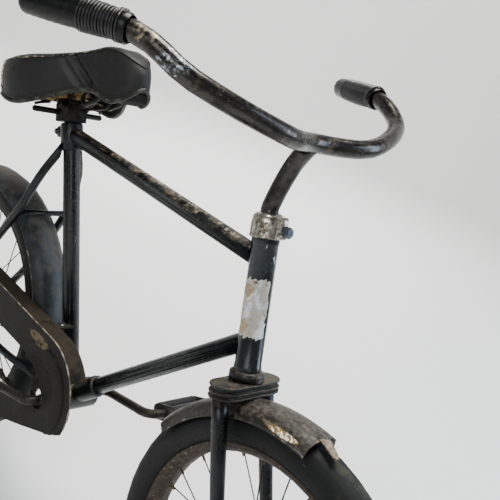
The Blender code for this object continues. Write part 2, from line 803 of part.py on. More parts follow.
def length_along(points):
    total, lengths = 0.0, [0.0]
    for a, b in zip(points, points[1:]):
        total += (b - a).length
        lengths.append(total)
    return lengths


def point_at(points, lengths, distance):
    for i in range(1, len(points)):
        if lengths[i] >= distance or i == len(points) - 1:
            share = (distance - lengths[i - 1]) / (lengths[i] - lengths[i - 1])
            return points[i - 1].lerp(points[i], share)


def sleeve_along(points, profile, sides):
    """A turned shape whose axis is a curved path: profile points are (distance, radius)."""
    lengths = length_along(points)
    frames = polyline_frames(points)
    rings = []
    for distance, radius in profile:
        centre = point_at(points, lengths, max(distance, 0))
        index = max(i for i, l in enumerate(lengths) if l <= max(distance, 0) + 1e-9)
        _, tangent, across, other = frames[min(index, len(frames) - 1)]
        if distance < 0:
            centre = centre + tangent * distance
        if radius == 0:
            rings.append([centre])
            continue
        rings.append(
            [
                centre + (across * math.cos(a) + other * math.sin(a)) * radius
                for a in (2 * math.pi * i / sides for i in range(sides))
            ]
        )
    return ring_surface(rings)


def grip_profile():
    """From the closed tip over the ridges to the mouth."""
    tip = 0.004
    profile = [(-tip, 0), (-tip, GRIP_RADIUS * 0.55), (-tip * 0.5, GRIP_RADIUS * 0.86), (0.001, GRIP_RADIUS)]
    start, end = 0.006, GRIP_LENGTH - 0.012
    pitch = (end - start) / GRIP_RIDGES
    for i in range(GRIP_RIDGES):
        swell = GRIP_RADIUS + 0.0012 * math.sin(math.pi * (i + 0.5) / GRIP_RIDGES)
        at = start + i * pitch
        profile += [(at, swell - 0.0012), (at + pitch * 0.45, swell)]
    profile += [
        (end, GRIP_RADIUS - 0.0010),
        (end + 0.003, GRIP_RADIUS + 0.0008),
        (GRIP_LENGTH - 0.001, GRIP_RADIUS + 0.0004),
        (GRIP_LENGTH, GRIP_RADIUS - 0.0008),
        (GRIP_LENGTH, 0),
    ]
    return profile


def trimmed(path, inset):
    """The same path with a little taken off each end."""
    lengths = length_along(path)
    inner = [p for p, at in zip(path, lengths) if inset < at < lengths[-1] - inset]
    return [point_at(path, lengths, inset), *inner, point_at(path, lengths, lengths[-1] - inset)]


def build_handlebar():
    path = bar_path()
    piece(
        "handlebar",
        rod(trimmed(path, GRIP_TIP + SEAT_GAP), BAR_RADIUS, BAR_SIDES),
        "steering_body",
        "worn_nickel",
    )
    for name, way in (("right", path), ("left", path[::-1])):
        grip = piece("grip_" + name, sleeve_along(way, grip_profile(), 12), "steering_body", "black_rubber")
        cut(grip, "bore", rod(trimmed(path, GRIP_TIP), BAR_RADIUS + SEAT_GAP, BAR_SIDES))

    foot = HEAD_TOP + AXIS * (0.012 + BEARING_GAP)
    route = [
        foot + AXIS * 0.003,
        foot + AXIS * 0.010,
        foot + AXIS * 0.017,
        foot + AXIS * 0.0235,
        HEAD_TOP + AXIS * 0.062 + AHEAD * 0.0110,
        HEAD_TOP + AXIS * 0.090 + AHEAD * 0.0265,
        BAR_CENTRE,
    ]
    stem = piece("stem", rod(smooth_path(route, 4), STEM_RADIUS, 14), "steering_body", "worn_nickel")
    cut(stem, "bar", rod(trimmed(path, GRIP_TIP), BAR_RADIUS + SEAT_GAP, BAR_SIDES))


# ---------------------------------------------------------------- mudguards


def guard_section(outer, half_width, drop, steps=6):
    """Across a mudguard: (y, radius) over its outer skin and back along its inner one."""
    skins = []
    for radius, width in ((outer, half_width), (outer - GUARD_WALL, half_width - GUARD_WALL)):
        skin = []
        for i in range(steps + 1):
            angle = math.pi * i / steps
            share = math.sin(angle) ** 0.75
            skin.append((-width * math.cos(angle), radius - drop * (1 - share)))
        skins.append(skin)
    return skins[0] + skins[1][::-1]


def guard(axle, start, end, steps):
    """A mudguard about an axle, its angles in degrees up from straight ahead."""
    section = guard_section(GUARD_RADIUS, GUARD_HALF_WIDTH, GUARD_DROP)
    rings = []
    for i in range(steps + 1):
        angle = math.radians(start + (end - start) * i / steps)
        out = Vector((math.cos(angle), 0, math.sin(angle)))
        rings.append([axle + out * radius + SIDE * y for y, radius in section])
    return ring_surface(rings)


REAR_GUARD_END = 200
FRONT_GUARD_START, FRONT_GUARD_END = 88, 152
GUARD_STAY_ANGLES = (148, 193)


def build_mudguards():
    low = where_it_passes(chain_stay_path(1), LOW_BRIDGE_RADIUS) - REAR_AXLE
    start = math.atan2(low.z, low.x) + (BRIDGE_RADIUS + GUARD_BRIDGE_GAP) / LOW_BRIDGE_RADIUS
    rear = guard(REAR_AXLE, math.degrees(start), REAR_GUARD_END, 28)
    piece("rear_mudguard", rear, "frame_body", "dusty_guard")
    front = guard(FRONT_AXLE, FRONT_GUARD_START, FRONT_GUARD_END, 16)
    made = piece("front_mudguard", front, "steering_body", "dusty_guard")
    ridge = FRONT_AXLE + around(math.radians(FRONT_GUARD_START), GUARD_RADIUS - GUARD_WALL)
    tongue = [
        ridge + around(math.radians(180), 0.006) - Vector((0, 0, 0.0006)),
        ridge + Vector((0.004, -0.002, -0.0008)),
        ridge + Vector((0.015, -0.006, -0.0022)),
        ridge + Vector((0.027, -0.010, -0.0040)),
    ]
    widths = (0.0075, 0.0070, 0.0058, 0.0035)
    rings = []
    for spot, half in zip(tongue, widths):
        rings.append(
            [spot + Vector((0, y, z)) for y, z in ((-half, 0), (half, 0), (half, 0.0018), (-half, 0.0018))]
        )
    join(made, "bent_tip", ring_surface(rings))


def build_guard_stays():
    """Two wires on each side from an eye under the rear axle's nut out to the guard's edge."""
    for name, side in (("left", 1), ("right", -1)):
        start = REAR_DROPOUT_OFFSET + DROPOUT_THICKNESS / 2 + SEAT_GAP
        profile = [
            (start, AXLE_RADIUS + SEAT_GAP),
            (start, 0.0125),
            (start + GUARD_EYE, 0.0125),
            (start + GUARD_EYE, AXLE_RADIUS + SEAT_GAP),
        ]
        eye = piece(
            "guard_stay_" + name,
            turned(profile, REAR_AXLE, SIDE * side, 16, closed=True),
            "frame_body",
            "dull_steel",
        )
        wire = GUARD_STAY_RADIUS
        edge = GUARD_RADIUS - GUARD_DROP
        for index, degrees in enumerate(GUARD_STAY_ANGLES):
            angle = math.radians(degrees)
            lap = GUARD_HALF_WIDTH + SEAT_GAP + wire
            path = [
                REAR_AXLE + around(angle, 0.0113) + SIDE * side * (start + wire),
                REAR_AXLE + around(angle, edge - 0.030) + SIDE * side * (lap + 0.006),
                REAR_AXLE + around(angle, edge - 0.004) + SIDE * side * lap,
                REAR_AXLE + around(angle, edge + 0.006) + SIDE * side * lap,
            ]
            join(eye, f"wire_{index}", rod(path, wire, 6))


# ---------------------------------------------------------------- wheels


def tyre_section():
    seat = WHEEL_RADIUS - 2 * TYRE_RADIUS + TYRE_SINK
    middle = WHEEL_RADIUS - TYRE_RADIUS
    half_angle = math.degrees(math.acos((middle - seat) / TYRE_RADIUS))
    return seat, arc((0, middle), TYRE_RADIUS, 270 - half_angle, -90 + half_angle, 12)


def build_wheel(prefix, axle, body_name, flange_offset, hub_half):
    """A tyre, and the wire wheel inside it: rim, spokes and hub in one."""
    seat, section = tyre_section()
    piece(prefix + "_tyre", turned(section, axle, SIDE, 48, closed=True), body_name, "black_rubber", 50)
    bore = AXLE_RADIUS + AXLE_BORE_GAP
    inner_face = flange_offset - FLANGE_THICKNESS / 2
    outer_face = flange_offset + FLANGE_THICKNESS / 2
    half_hub = [
        (hub_half, bore),
        (hub_half, 0.0085),
        (outer_face, 0.0135),
        (outer_face, FLANGE_RADIUS),
        (inner_face, FLANGE_RADIUS),
        (inner_face, HUB_BARREL_RADIUS),
    ]
    profile = half_hub + [(-h, r) for h, r in reversed(half_hub)]
    wheel = piece(
        prefix + "_wires", turned(profile, axle, SIDE, 18, closed=True), body_name, "rusted_rim", 30
    )
    edge = seat - SEAT_GAP
    half = RIM_WIDTH / 2
    half_rim = [
        (half, edge),
        (half, edge - 0.004),
        (half - 0.010, edge - RIM_DEPTH),
    ]
    profile = half_rim + [(-h, r) for h, r in reversed(half_rim)]
    join(wheel, "rim", turned(profile, axle, SIDE, 48, closed=True))
    spokes = bmesh.new()
    count = 2 * SPOKE_PAIRS
    for i in range(count):
        side = 1 if i % 2 else -1
        lead = 1 if (i // 2) % 2 else -1
        at_rim = 2 * math.pi * (i + 0.37) / count
        at_hub = at_rim + lead * SPOKE_LEAD
        aside = lead * (SPOKE_RADIUS + 0.0003)  # crossing spokes pass each other
        start = axle + around(at_hub, FLANGE_RADIUS - 0.003) + SIDE * (side * flange_offset + aside)
        end = axle + around(at_rim, edge - RIM_DEPTH + 0.004) + SIDE * (side * 0.003 + aside)
        add_to(spokes, rod([start, end], SPOKE_RADIUS, 4))
    join(wheel, "spokes", spokes)


def build_axle(name, axle, body_name, dropout_offset, hub_half, eye=0.0):
    """An axle with its cones inside the fork ends and its nuts outside, ending in flat faces."""
    inner = dropout_offset - DROPOUT_THICKNESS / 2 - SEAT_GAP
    outer = dropout_offset + DROPOUT_THICKNESS / 2 + eye + SEAT_GAP
    half = [
        (hub_half + BEARING_GAP, AXLE_RADIUS),
        (hub_half + BEARING_GAP, 0.0080),
        (inner, 0.0080),
        (inner, AXLE_RADIUS),
        (outer, AXLE_RADIUS),
        (outer, NUT_RADIUS),
        (outer + NUT_HEIGHT, NUT_RADIUS),
        (outer + NUT_HEIGHT, AXLE_RADIUS),
        (outer + NUT_HEIGHT + AXLE_TIP, AXLE_RADIUS),
        (outer + NUT_HEIGHT + AXLE_TIP, 0),
    ]
    profile = [(-h, r) for h, r in reversed(half)] + half
    piece(name, turned(profile, axle, SIDE, 12), body_name, "dull_steel", 25)


FRONT_HUB_HALF = 0.0385
REAR_HUB_HALF = 0.0455


def build_wheels():
    build_wheel("front_wheel", FRONT_AXLE, "front_wheel_body", FRONT_FLANGE_OFFSET, FRONT_HUB_HALF)
    build_wheel("rear_wheel", REAR_AXLE, "rear_wheel_body", REAR_FLANGE_OFFSET, REAR_HUB_HALF)
    build_axle("front_axle", FRONT_AXLE, "steering_body", BLADE_TIP_OFFSET, FRONT_HUB_HALF)
    build_axle("rear_axle", REAR_AXLE, "frame_body", REAR_DROPOUT_OFFSET, REAR_HUB_HALF, GUARD_EYE + SEAT_GAP)


# ---------------------------------------------------------------- transmission


def toothed_outline(teeth, tooth_height=0.0032):
    """A sprocket's edge, cut back so that its teeth stand just clear of the chain's rollers."""
    tip = pitch_radius(teeth) - CHAIN_HEIGHT / 2 - 0.0005
    outline = []
    for i in range(2 * teeth):
        angle = math.pi * i / teeth
        radius = tip if i % 2 else tip - tooth_height
        outline.append((radius * math.cos(angle), radius * math.sin(angle)))
    return outline


def toothed_ring(centre, teeth, inner_radius, thickness):
    """A flat toothed ring round a Y axis."""
    outer = toothed_outline(teeth)
    inner = [
        (inner_radius * math.cos(math.pi * i / teeth), inner_radius * math.sin(math.pi * i / teeth))
        for i in range(2 * teeth)
    ]
    rings = []
    for outline, side in ((outer, -1), (outer, 1), (inner, 1), (inner, -1)):
        rings.append([centre + Vector((a, side * thickness / 2, b)) for a, b in outline])
    return ring_surface(rings, closed=True)


def build_sprockets():
    centre = BRACKET - SIDE * CHAIN_LINE
    web = CHAINRING_THICKNESS - 0.0004
    ring_inner = pitch_radius(CHAINRING_TEETH) - 0.0108
    ring = piece(
        "chainring",
        cylinder(centre - SIDE * web / 2, SIDE, web, ring_inner + 0.0015, 32),
        "crank_body",
        "dull_steel",
        25,
    )
    cut(ring, "bore", cylinder(centre - SIDE * 0.01, SIDE, 0.02, SPINDLE_RADIUS + SEAT_GAP, 14))
    for i in range(CHAINRING_WINDOWS):
        at = centre + around(CRANK_ANGLE + 2 * math.pi * (i + 0.5) / CHAINRING_WINDOWS, 0.62 * ring_inner)
        cut(ring, f"window_{i}", cylinder(at - SIDE * 0.01, SIDE, 0.02, 0.21 * ring_inner, 12))
    join(ring, "teeth", toothed_ring(centre, CHAINRING_TEETH, ring_inner, CHAINRING_THICKNESS))
    piece(
        "rear_sprocket",
        toothed_ring(REAR_AXLE - SIDE * CHAIN_LINE, SPROCKET_TEETH, 0.0105, CHAINRING_THICKNESS),
        "rear_wheel_body",
        "dull_steel",
        25,
    )


def chain_loop():
    """Points and outward directions once round the pitch line, at even spacing, two to a link."""
    big, small = pitch_radius(CHAINRING_TEETH), pitch_radius(SPROCKET_TEETH)
    span = BRACKET - REAR_AXLE
    distance = span.length
    tilt = math.atan2(span.z, span.x)
    lean = math.asin((big - small) / distance)
    run = distance * math.cos(lean)
    front_wrap, rear_wrap = math.pi + 2 * lean, math.pi - 2 * lean
    total = 2 * run + front_wrap * big + rear_wrap * small
    links = 2 * round(total / CHAIN_PITCH / 2)

    def at(travel):
        travel %= total
        up_angle = tilt + math.pi / 2 + lean
        down_angle = tilt - math.pi / 2 - lean
        if travel < run:  # top run, rear to front
            out = Vector((math.cos(up_angle), 0, math.sin(up_angle)))
            along = Vector((out.z, 0, -out.x))
            return REAR_AXLE + out * small + along * travel, out
        travel -= run
        if travel < front_wrap * big:
            angle = up_angle - travel / big
            out = Vector((math.cos(angle), 0, math.sin(angle)))
            return BRACKET + out * big, out
        travel -= front_wrap * big
        if travel < run:
            out = Vector((math.cos(down_angle), 0, math.sin(down_angle)))
            along = Vector((out.z, 0, -out.x))
            return BRACKET + out * big + along * travel, out
        travel -= run
        angle = down_angle - travel / small
        out = Vector((math.cos(angle), 0, math.sin(angle)))
        return REAR_AXLE + out * small, out

    return links, total, at


def build_chain():
    """One closed loop of links: wide and narrow ones in turn, each with its waist."""
    links, total, at = chain_loop()
    step = total / links
    stations = (  # share of a link, height as a share of the chain's, width for wide and narrow
        (0.08, 1.0),
        (0.50, 0.70),
        (0.92, 1.0),
    )
    rings = []
    for link in range(links):
        half_width = (CHAIN_WIDTH if link % 2 else CHAIN_WIDTH * 0.72) / 2
        for share, height in stations:
            centre, out = at((link + share) * step)
            half_height = CHAIN_HEIGHT * height / 2
            centre = centre - SIDE * CHAIN_LINE
            rings.append(
                [
                    centre + out * half_height * a + SIDE * half_width * b
                    for a, b in ((-1, -1), (-1, 1), (1, 1), (1, -1))
                ]
            )
    piece("chain", ring_surface(rings, closed=True), "frame_body", "oily_chain", 20)


def crank_arm_path(pedal, side, offsets, bend):
    """From inside the spindle out to the pedal's pin: both bends lie in the arm's own plane."""
    root, tip = offsets
    end = Vector((pedal.x, side * tip, pedal.z))
    pin = pedal + SIDE * side * (tip + bend + PEDAL_GAP)
    return rounded_path([BRACKET, BRACKET + SIDE * side * root, end, pin], bend, 5)


def build_crank():
    """One bent bar: left arm, spindle through the bracket, right arm."""
    left = crank_arm_path(LEFT_PEDAL, 1, CRANK_LEFT_Y, CRANK_LEFT_BEND)
    right = crank_arm_path(RIGHT_PEDAL, -1, CRANK_RIGHT_Y, CRANK_RIGHT_BEND)
    path = left[:0:-1] + right[1:]
    crank = piece("crank", rod(path, CRANK_RADIUS, 10), "crank_body", "dull_steel")
    half = SHELL_HALF_WIDTH + 0.005
    join(crank, "spindle", cylinder(BRACKET - SIDE * (half + 0.013), SIDE, 2 * half + 0.013, SPINDLE_RADIUS, 14))


def build_pedal(name, centre, side, tip, bend, body_name):
    along = around(PEDAL_TILT, 1)
    up = around(PEDAL_TILT + math.pi / 2, 1)
    start = tip + bend + PEDAL_GAP
    plate = 0.003
    half_width, half_height = PEDAL_WIDTH / 2, PEDAL_HEIGHT / 2
    corner = 0.008
    outline = (
        arc((half_width - corner, half_height - corner), corner, 0, 90, 4)
        + arc((-half_width + corner, half_height - corner), corner, 90, 180, 4)
        + arc((-half_width + corner, -half_height + corner), corner, 180, 270, 4)
        + arc((half_width - corner, -half_height + corner), corner, 270, 360, 4)
    )
    inner = centre + SIDE * side * (start + plate / 2)
    outer = centre + SIDE * side * (start + PEDAL_LENGTH - plate / 2)
    cage = piece(
        "pedal_cage_" + name, prism(outline, inner, along, up, plate), body_name, "dull_steel", 30
    )
    join(cage, "outer_plate", prism(outline, outer, along, up, plate))
    barrel = [
        (BEARING_GAP, 0),
        (BEARING_GAP, 0.0068),
        (PEDAL_LENGTH + 0.004, 0.0068),
        (PEDAL_LENGTH + 0.006, 0.0055),
        (PEDAL_LENGTH + 0.006, 0),
    ]
    join(cage, "barrel", turned(barrel, centre + SIDE * side * start, SIDE * side, 12))
    for block_name, sign in (("front", 1), ("back", -1)):
        width, height = 0.0078, half_height + 0.0005
        middle = centre + along * sign * (half_width - 0.0010 - width)
        outline = [
            (-width, -height + 0.004),
            (-width + 0.004, -height),
            (width - 0.004, -height),
            (width, -height + 0.004),
            (width, height - 0.004),
            (width - 0.004, height),
            (-width + 0.004, height),
            (-width, height - 0.004),
        ]
        length = PEDAL_LENGTH - 2 * plate - 2 * SEAT_GAP
        block_centre = middle + SIDE * side * (start + PEDAL_LENGTH / 2)
        piece(
            f"pedal_block_{name}_{block_name}",
            prism(outline, block_centre, along, up, length),
            body_name,
            "black_rubber",
            40,
        )


# ---------------------------------------------------------------- chain guard


def from_bracket(points):
    return [(x, BRACKET_HEIGHT + z) for x, z in points]


def case_edge(inset):
    """The guard's outer edge from its rear end over the top and round the front: (x, z)."""
    cx, cz = CASE_CENTRE
    a, b = CASE_LOBE[0] - inset, CASE_LOBE[1] - inset
    lobe = [
        (cx + a * math.cos(math.radians(t)), cz + b * math.sin(math.radians(t)))
        for t in range(93, CASE_BAND_END - 1, -8)
    ]
    return [(CASE_END_X, cz + b), (-0.120, cz + b), *lobe]


def case_face():
    """The guard's flat side: upper branch, front, and the lower branch that hangs down."""
    cx, cz = CASE_CENTRE
    front = [
        (cx + CASE_LOBE[0] * math.cos(math.radians(t)), cz + CASE_LOBE[1] * math.sin(math.radians(t)))
        for t in (22, 10, 0, -10)
    ]
    lower = [(0.069, -0.011), (0.060, -0.018), (0.036, -0.032), (-0.018, -0.058), (-0.069, -0.081)]
    tail = [(-0.112, -0.097), (-0.126, -0.093), (-0.130, -0.079), (-0.122, -0.063)]
    lower_edge = [(-0.096, -0.043), (-0.050, -0.022), (-0.018, -0.0145)]
    window = [
        (CASE_WINDOW_RADIUS * math.cos(math.radians(t)), CASE_WINDOW_RADIUS * math.sin(math.radians(t)))
        for t in range(-90, 61, 25)
    ]
    low = cz + CASE_LOBE[1] - CASE_BRANCH
    upper_edge = [(-0.005, low - 0.026), (-0.035, low - 0.015), (-0.064, low - 0.009), (-0.110, low - 0.009), (CASE_END_X, low - 0.011)]
    return case_edge(0) + front + lower + tail + lower_edge + window + upper_edge


def build_chain_guard():
    along, up = Vector((1, 0, 0)), Vector((0, 0, 1))

    def slab(points, y_from, y_to):
        middle = Vector((0, -(y_from + y_to) / 2, 0))
        return prism(from_bracket(points), middle, along, up, y_to - y_from)

    face = slab(case_face(), CASE_FACE_Y, CASE_FACE_Y + CASE_WALL)
    case = piece("chain_guard", face, "frame_body", "dusty_guard", 30)
    band = case_edge(0) + case_edge(CASE_WALL)[::-1]
    join(case, "band", slab(band, CASE_BACK_Y, CASE_FACE_Y + CASE_WALL / 2))

    height = CASE_CENTRE[1] + CASE_LOBE[1] - CASE_WALL - SEAT_GAP
    back, front = CASE_TAB_EDGES
    low = height - CASE_TAB_THICKNESS
    strip = [(back, low), (front, low), (front, height), (back, height)]
    tab = piece("chain_guard_tab", slab(strip, 0.0, CASE_BACK_Y + CASE_TAB_REACH), "frame_body", "dull_steel")
    cut(tab, "tube", cylinder(BRACKET, SEAT_DIRECTION, 2 * CUT_PAST, SEAT_TUBE_RADIUS + SEAT_GAP, 24))
    low = height - CLIP_BELOW_TAB
    top = low + CLIP_HEIGHT
    stay = min(seat_stay_path(-1), key=lambda p: abs(p.z - BRACKET_HEIGHT - (low + top) / 2))
    front, back = stay.x + CLIP_AHEAD, stay.x - CLIP_BEHIND
    strip = [(back, low), (front, low), (front, top), (back, top)]
    clip = piece(
        "chain_guard_clip",
        slab(strip, CASE_FACE_Y - SEAT_GAP - CLIP_THICKNESS, CASE_FACE_Y - SEAT_GAP),
        "frame_body",
        "dull_steel",
    )
    cut(clip, "stay", rod(seat_stay_path(-1), STAY_RADIUS + SEAT_GAP, 10))
    behind = [(p.x, p.z - BRACKET_HEIGHT) for p in seat_stay_path(-1)]
    behind += [(p[0] - CUT_PAST, p[1]) for p in reversed(behind)]
    cut(clip, "behind", slab(behind, 0.04, 0.07))


# ---------------------------------------------------------------- saddle


def saddle_point(ahead, left, up):
    return POST_TOP + SADDLE_AHEAD * ahead + SIDE * left + SADDLE_UP * up


SADDLE_PLAN = (  # distance ahead of the post, half width, height of the hem, height of the top
    (-0.080, 0.000, 0.008, 0.062),
    (-0.079, 0.040, 0.005, 0.063),
    (-0.072, 0.066, -0.004, 0.066),
    (-0.054, 0.082, -0.009, 0.069),
    (-0.020, 0.086, -0.008, 0.0705),
    (0.015, 0.077, -0.002, 0.0715),
    (0.048, 0.058, 0.003, 0.076),
    (0.080, 0.042, 0.008, 0.084),
    (0.106, 0.033, 0.006, 0.088),
    (0.130, 0.028, 0.008, 0.081),
    (0.150, 0.021, 0.014, 0.069),
    (0.162, 0.011, 0.020, 0.055),
    (0.166, 0.000, 0.022, 0.051),
)


def saddle_top(ahead):
    """The height of the top along the middle."""
    for (a, _, _, low), (b, _, _, high) in zip(SADDLE_PLAN, SADDLE_PLAN[1:]):
        if ahead <= b:
            return low + (high - low) * max(0, ahead - a) / (b - a)
    return SADDLE_PLAN[-1][3]


def saddle_ring(scale, share=None, below=0.0, level=None):
    """A line round the saddle, scaled towards its middle: a share of the way up from the hem, or
    a distance below the top, or level."""
    ring = []
    for side, stations in ((1, SADDLE_PLAN), (-1, SADDLE_PLAN[-2:0:-1])):
        for s, w, hem, top in stations:
            ahead = SADDLE_MIDDLE + (s - SADDLE_MIDDLE) * scale
            if level is not None:
                height = level
            elif share is not None:
                height = hem + (top - hem) * share
            else:
                height = saddle_top(ahead) - below
            ring.append(saddle_point(ahead, side * w * scale, height))
    return ring


def build_saddle():
    """The leather cover and its padding, hollow below a flat pan."""
    middle = saddle_point(SADDLE_MIDDLE, 0, SADDLE_HEIGHT)
    rings = [
        [middle],
        saddle_ring(0.45, below=0.0004),
        saddle_ring(0.75, below=0.0025),
        saddle_ring(0.92, below=0.0075),
        saddle_ring(0.985, share=0.78),
        saddle_ring(1.00, share=0.40),
        saddle_ring(0.97, share=0.0),
        saddle_ring(0.91, share=0.0),
        saddle_ring(0.91, share=0.40),
        saddle_ring(0.86, level=SADDLE_CEILING),
        [saddle_point(SADDLE_MIDDLE, 0, SADDLE_CEILING)],
    ]
    piece("saddle", ring_surface(rings), "frame_body", "black_leather", 40)


def build_seat_post():
    top = POST_RISE - 0.0145
    profile = [
        (-0.18 * SEAT_TUBE_LENGTH, 0),
        (-0.18 * SEAT_TUBE_LENGTH, POST_RADIUS),
        (top - 0.002, POST_RADIUS),
        (top, POST_RADIUS - 0.002),
        (top, 0),
    ]
    piece("seat_post", turned(profile, SEAT_TOP, SEAT_DIRECTION, 20), "frame_body", "dull_steel")
    return top


def build_saddle_frame(post_top):
    """What carries the saddle: a clamp on the post, a bar across it with two coil springs, and
    one wire with a coil in each side that runs forward under the nose."""
    outline = [(-0.0155, -0.0195), (0.0135, -0.0195), (0.0155, 0.008), (0.009, 0.0135), (-0.011, 0.0135), (-0.0165, 0.005)]
    clamp = piece(
        "saddle_clamp", prism(outline, POST_TOP, SADDLE_AHEAD, SADDLE_UP, 0.034), "frame_body", "dull_steel"
    )
    reach = 0.06
    bottom = SEAT_TOP + SEAT_DIRECTION * (post_top + SEAT_GAP - reach)
    cut(clamp, "post", cylinder(bottom, SEAT_DIRECTION, reach, POST_RADIUS + SEAT_GAP, 20))
    across = saddle_point(SADDLE_BAR_PLACE[0], 0, SADDLE_BAR_PLACE[1])
    radius = SADDLE_BAR_RADIUS + SEAT_GAP
    cut(clamp, "bar", cylinder(across - SIDE * 0.03, SIDE, 0.06, radius, 12))
    bolt = saddle_point(0.0065, -0.023, 0.002)
    join(clamp, "bolt", cylinder(bolt, SIDE, 0.046, 0.0060, 6))
    half = SADDLE_BAR_HALF
    profile = [
        (-half, 0),
        (-half, 0.0025),
        (-half + 0.002, SADDLE_BAR_RADIUS),
        (half - 0.002, SADDLE_BAR_RADIUS),
        (half, 0.0025),
        (half, 0),
    ]
    piece("saddle_bar", turned(profile, across, SIDE, 12), "frame_body", "dull_steel")

    base = SADDLE_BAR_PLACE[1] + SADDLE_BAR_RADIUS + SEAT_GAP + SPRING_WIRE
    tall = SADDLE_CEILING - SEAT_GAP - SPRING_WIRE - base
    turns, steps = 3.75, 10
    for name, side in (("left", 1), ("right", -1)):
        path = []
        for i in range(int(turns * steps) + 1):
            angle = 2 * math.pi * i / steps
            height = base + tall * i / int(turns * steps)
            path.append(
                saddle_point(
                    SADDLE_BAR_PLACE[0] + SPRING_RADIUS * math.sin(angle),
                    side * (SPRING_OFFSET + SPRING_RADIUS * math.cos(angle)),
                    height,
                )
            )
        piece("saddle_spring_" + name, rod(path, SPRING_WIRE, 6), "frame_body", "dull_steel")

    wire, eye = NOSE_WIRE, NOSE_WIRE_EYE
    half_path = [(0.0155 + SEAT_GAP, 0.0115, 0.001), (0.040, 0.0125, 0.001)]
    for i in range(11):
        angle = 2 * math.pi * i / 10
        half_path.append((0.062 + eye * math.sin(angle), 0.0125 + 0.0085 * i / 10, 0.001 + eye * (1 - math.cos(angle))))
    top = SADDLE_CEILING - SEAT_GAP - wire
    half_path += [(0.085, 0.021, 0.006), (0.108, 0.0170, 0.022), (0.122, 0.0125, 0.036), (0.128, 0.0080, top)]
    path = [saddle_point(a, -y, z) for a, y, z in half_path]
    path += [saddle_point(a, y, z) for a, y, z in reversed(half_path)]
    piece("saddle_nose_wire", rod(path, wire, 6), "frame_body", "dull_steel")


build_head_tube()
build_main_tubes()
build_bracket_shell()
build_seat_lug()
build_stays()
build_bridges()
build_fork()
build_collar()
build_handlebar()
build_mudguards()
build_guard_stays()
build_wheels()
build_sprockets()
build_chain()
build_crank()
build_pedal("left", LEFT_PEDAL, 1, CRANK_LEFT_Y[1], CRANK_LEFT_BEND, "left_pedal_body")
build_pedal("right", RIGHT_PEDAL, -1, CRANK_RIGHT_Y[1], CRANK_RIGHT_BEND, "right_pedal_body")
build_chain_guard()
build_saddle()
build_saddle_frame(build_seat_post())
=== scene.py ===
# %% [markdown]
# # A worn child's bicycle
#
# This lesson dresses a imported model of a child's bicycle. The model brings the shapes in their
# places, in metres, with X ahead, Y to the rider's left and Z up. Each step adds something that it
# lacks: tarnish, dust, chipped enamel, cracked leather, and what a maker rivets and screws on.

import json
import math
from typing import NamedTuple

import bmesh
import bpy
from mathutils import Matrix, Vector, noise
from mathutils.bvhtree import BVHTree

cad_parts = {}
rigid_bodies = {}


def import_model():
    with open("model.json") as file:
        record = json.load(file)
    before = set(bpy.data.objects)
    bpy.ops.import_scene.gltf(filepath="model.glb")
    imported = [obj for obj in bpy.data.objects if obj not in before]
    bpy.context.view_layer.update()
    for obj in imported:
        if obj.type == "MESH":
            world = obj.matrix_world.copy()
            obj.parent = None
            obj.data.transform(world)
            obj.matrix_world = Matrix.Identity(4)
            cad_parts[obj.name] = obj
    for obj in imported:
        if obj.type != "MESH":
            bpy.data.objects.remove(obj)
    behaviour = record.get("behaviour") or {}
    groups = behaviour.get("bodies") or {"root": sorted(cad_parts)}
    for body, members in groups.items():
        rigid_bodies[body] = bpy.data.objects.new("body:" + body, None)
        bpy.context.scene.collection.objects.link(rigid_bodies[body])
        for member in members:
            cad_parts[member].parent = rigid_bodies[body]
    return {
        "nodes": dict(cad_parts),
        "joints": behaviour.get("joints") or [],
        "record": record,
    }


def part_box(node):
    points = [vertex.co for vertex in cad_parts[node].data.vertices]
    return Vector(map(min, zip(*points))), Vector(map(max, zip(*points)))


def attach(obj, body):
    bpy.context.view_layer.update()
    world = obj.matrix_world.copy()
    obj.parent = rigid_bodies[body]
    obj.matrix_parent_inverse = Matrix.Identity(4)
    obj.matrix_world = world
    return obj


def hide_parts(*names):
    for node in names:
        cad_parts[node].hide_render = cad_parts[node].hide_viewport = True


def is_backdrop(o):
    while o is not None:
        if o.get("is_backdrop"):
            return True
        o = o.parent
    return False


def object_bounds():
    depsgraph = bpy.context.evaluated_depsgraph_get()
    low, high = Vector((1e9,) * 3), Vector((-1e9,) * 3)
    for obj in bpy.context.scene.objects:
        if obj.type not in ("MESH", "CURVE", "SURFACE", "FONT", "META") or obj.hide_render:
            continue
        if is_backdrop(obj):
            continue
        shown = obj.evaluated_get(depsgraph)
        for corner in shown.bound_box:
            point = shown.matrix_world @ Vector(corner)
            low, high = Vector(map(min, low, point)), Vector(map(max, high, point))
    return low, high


for left_over in list(bpy.data.objects):
    bpy.data.objects.remove(left_over)
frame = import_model()
nodes = frame["nodes"]
packed_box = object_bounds()
bodies = frame["record"]["behaviour"]["bodies"]
body_of = {node: body for body, members in bodies.items() for node in members}
print(len(nodes), "nodes, box from", packed_box[0], "to", packed_box[1])

# %% [markdown]
# ## Where things are
#
# Places come from the model: its joints give the axles and the steering axis, and the rider's
# mount, the seat point, is the origin.

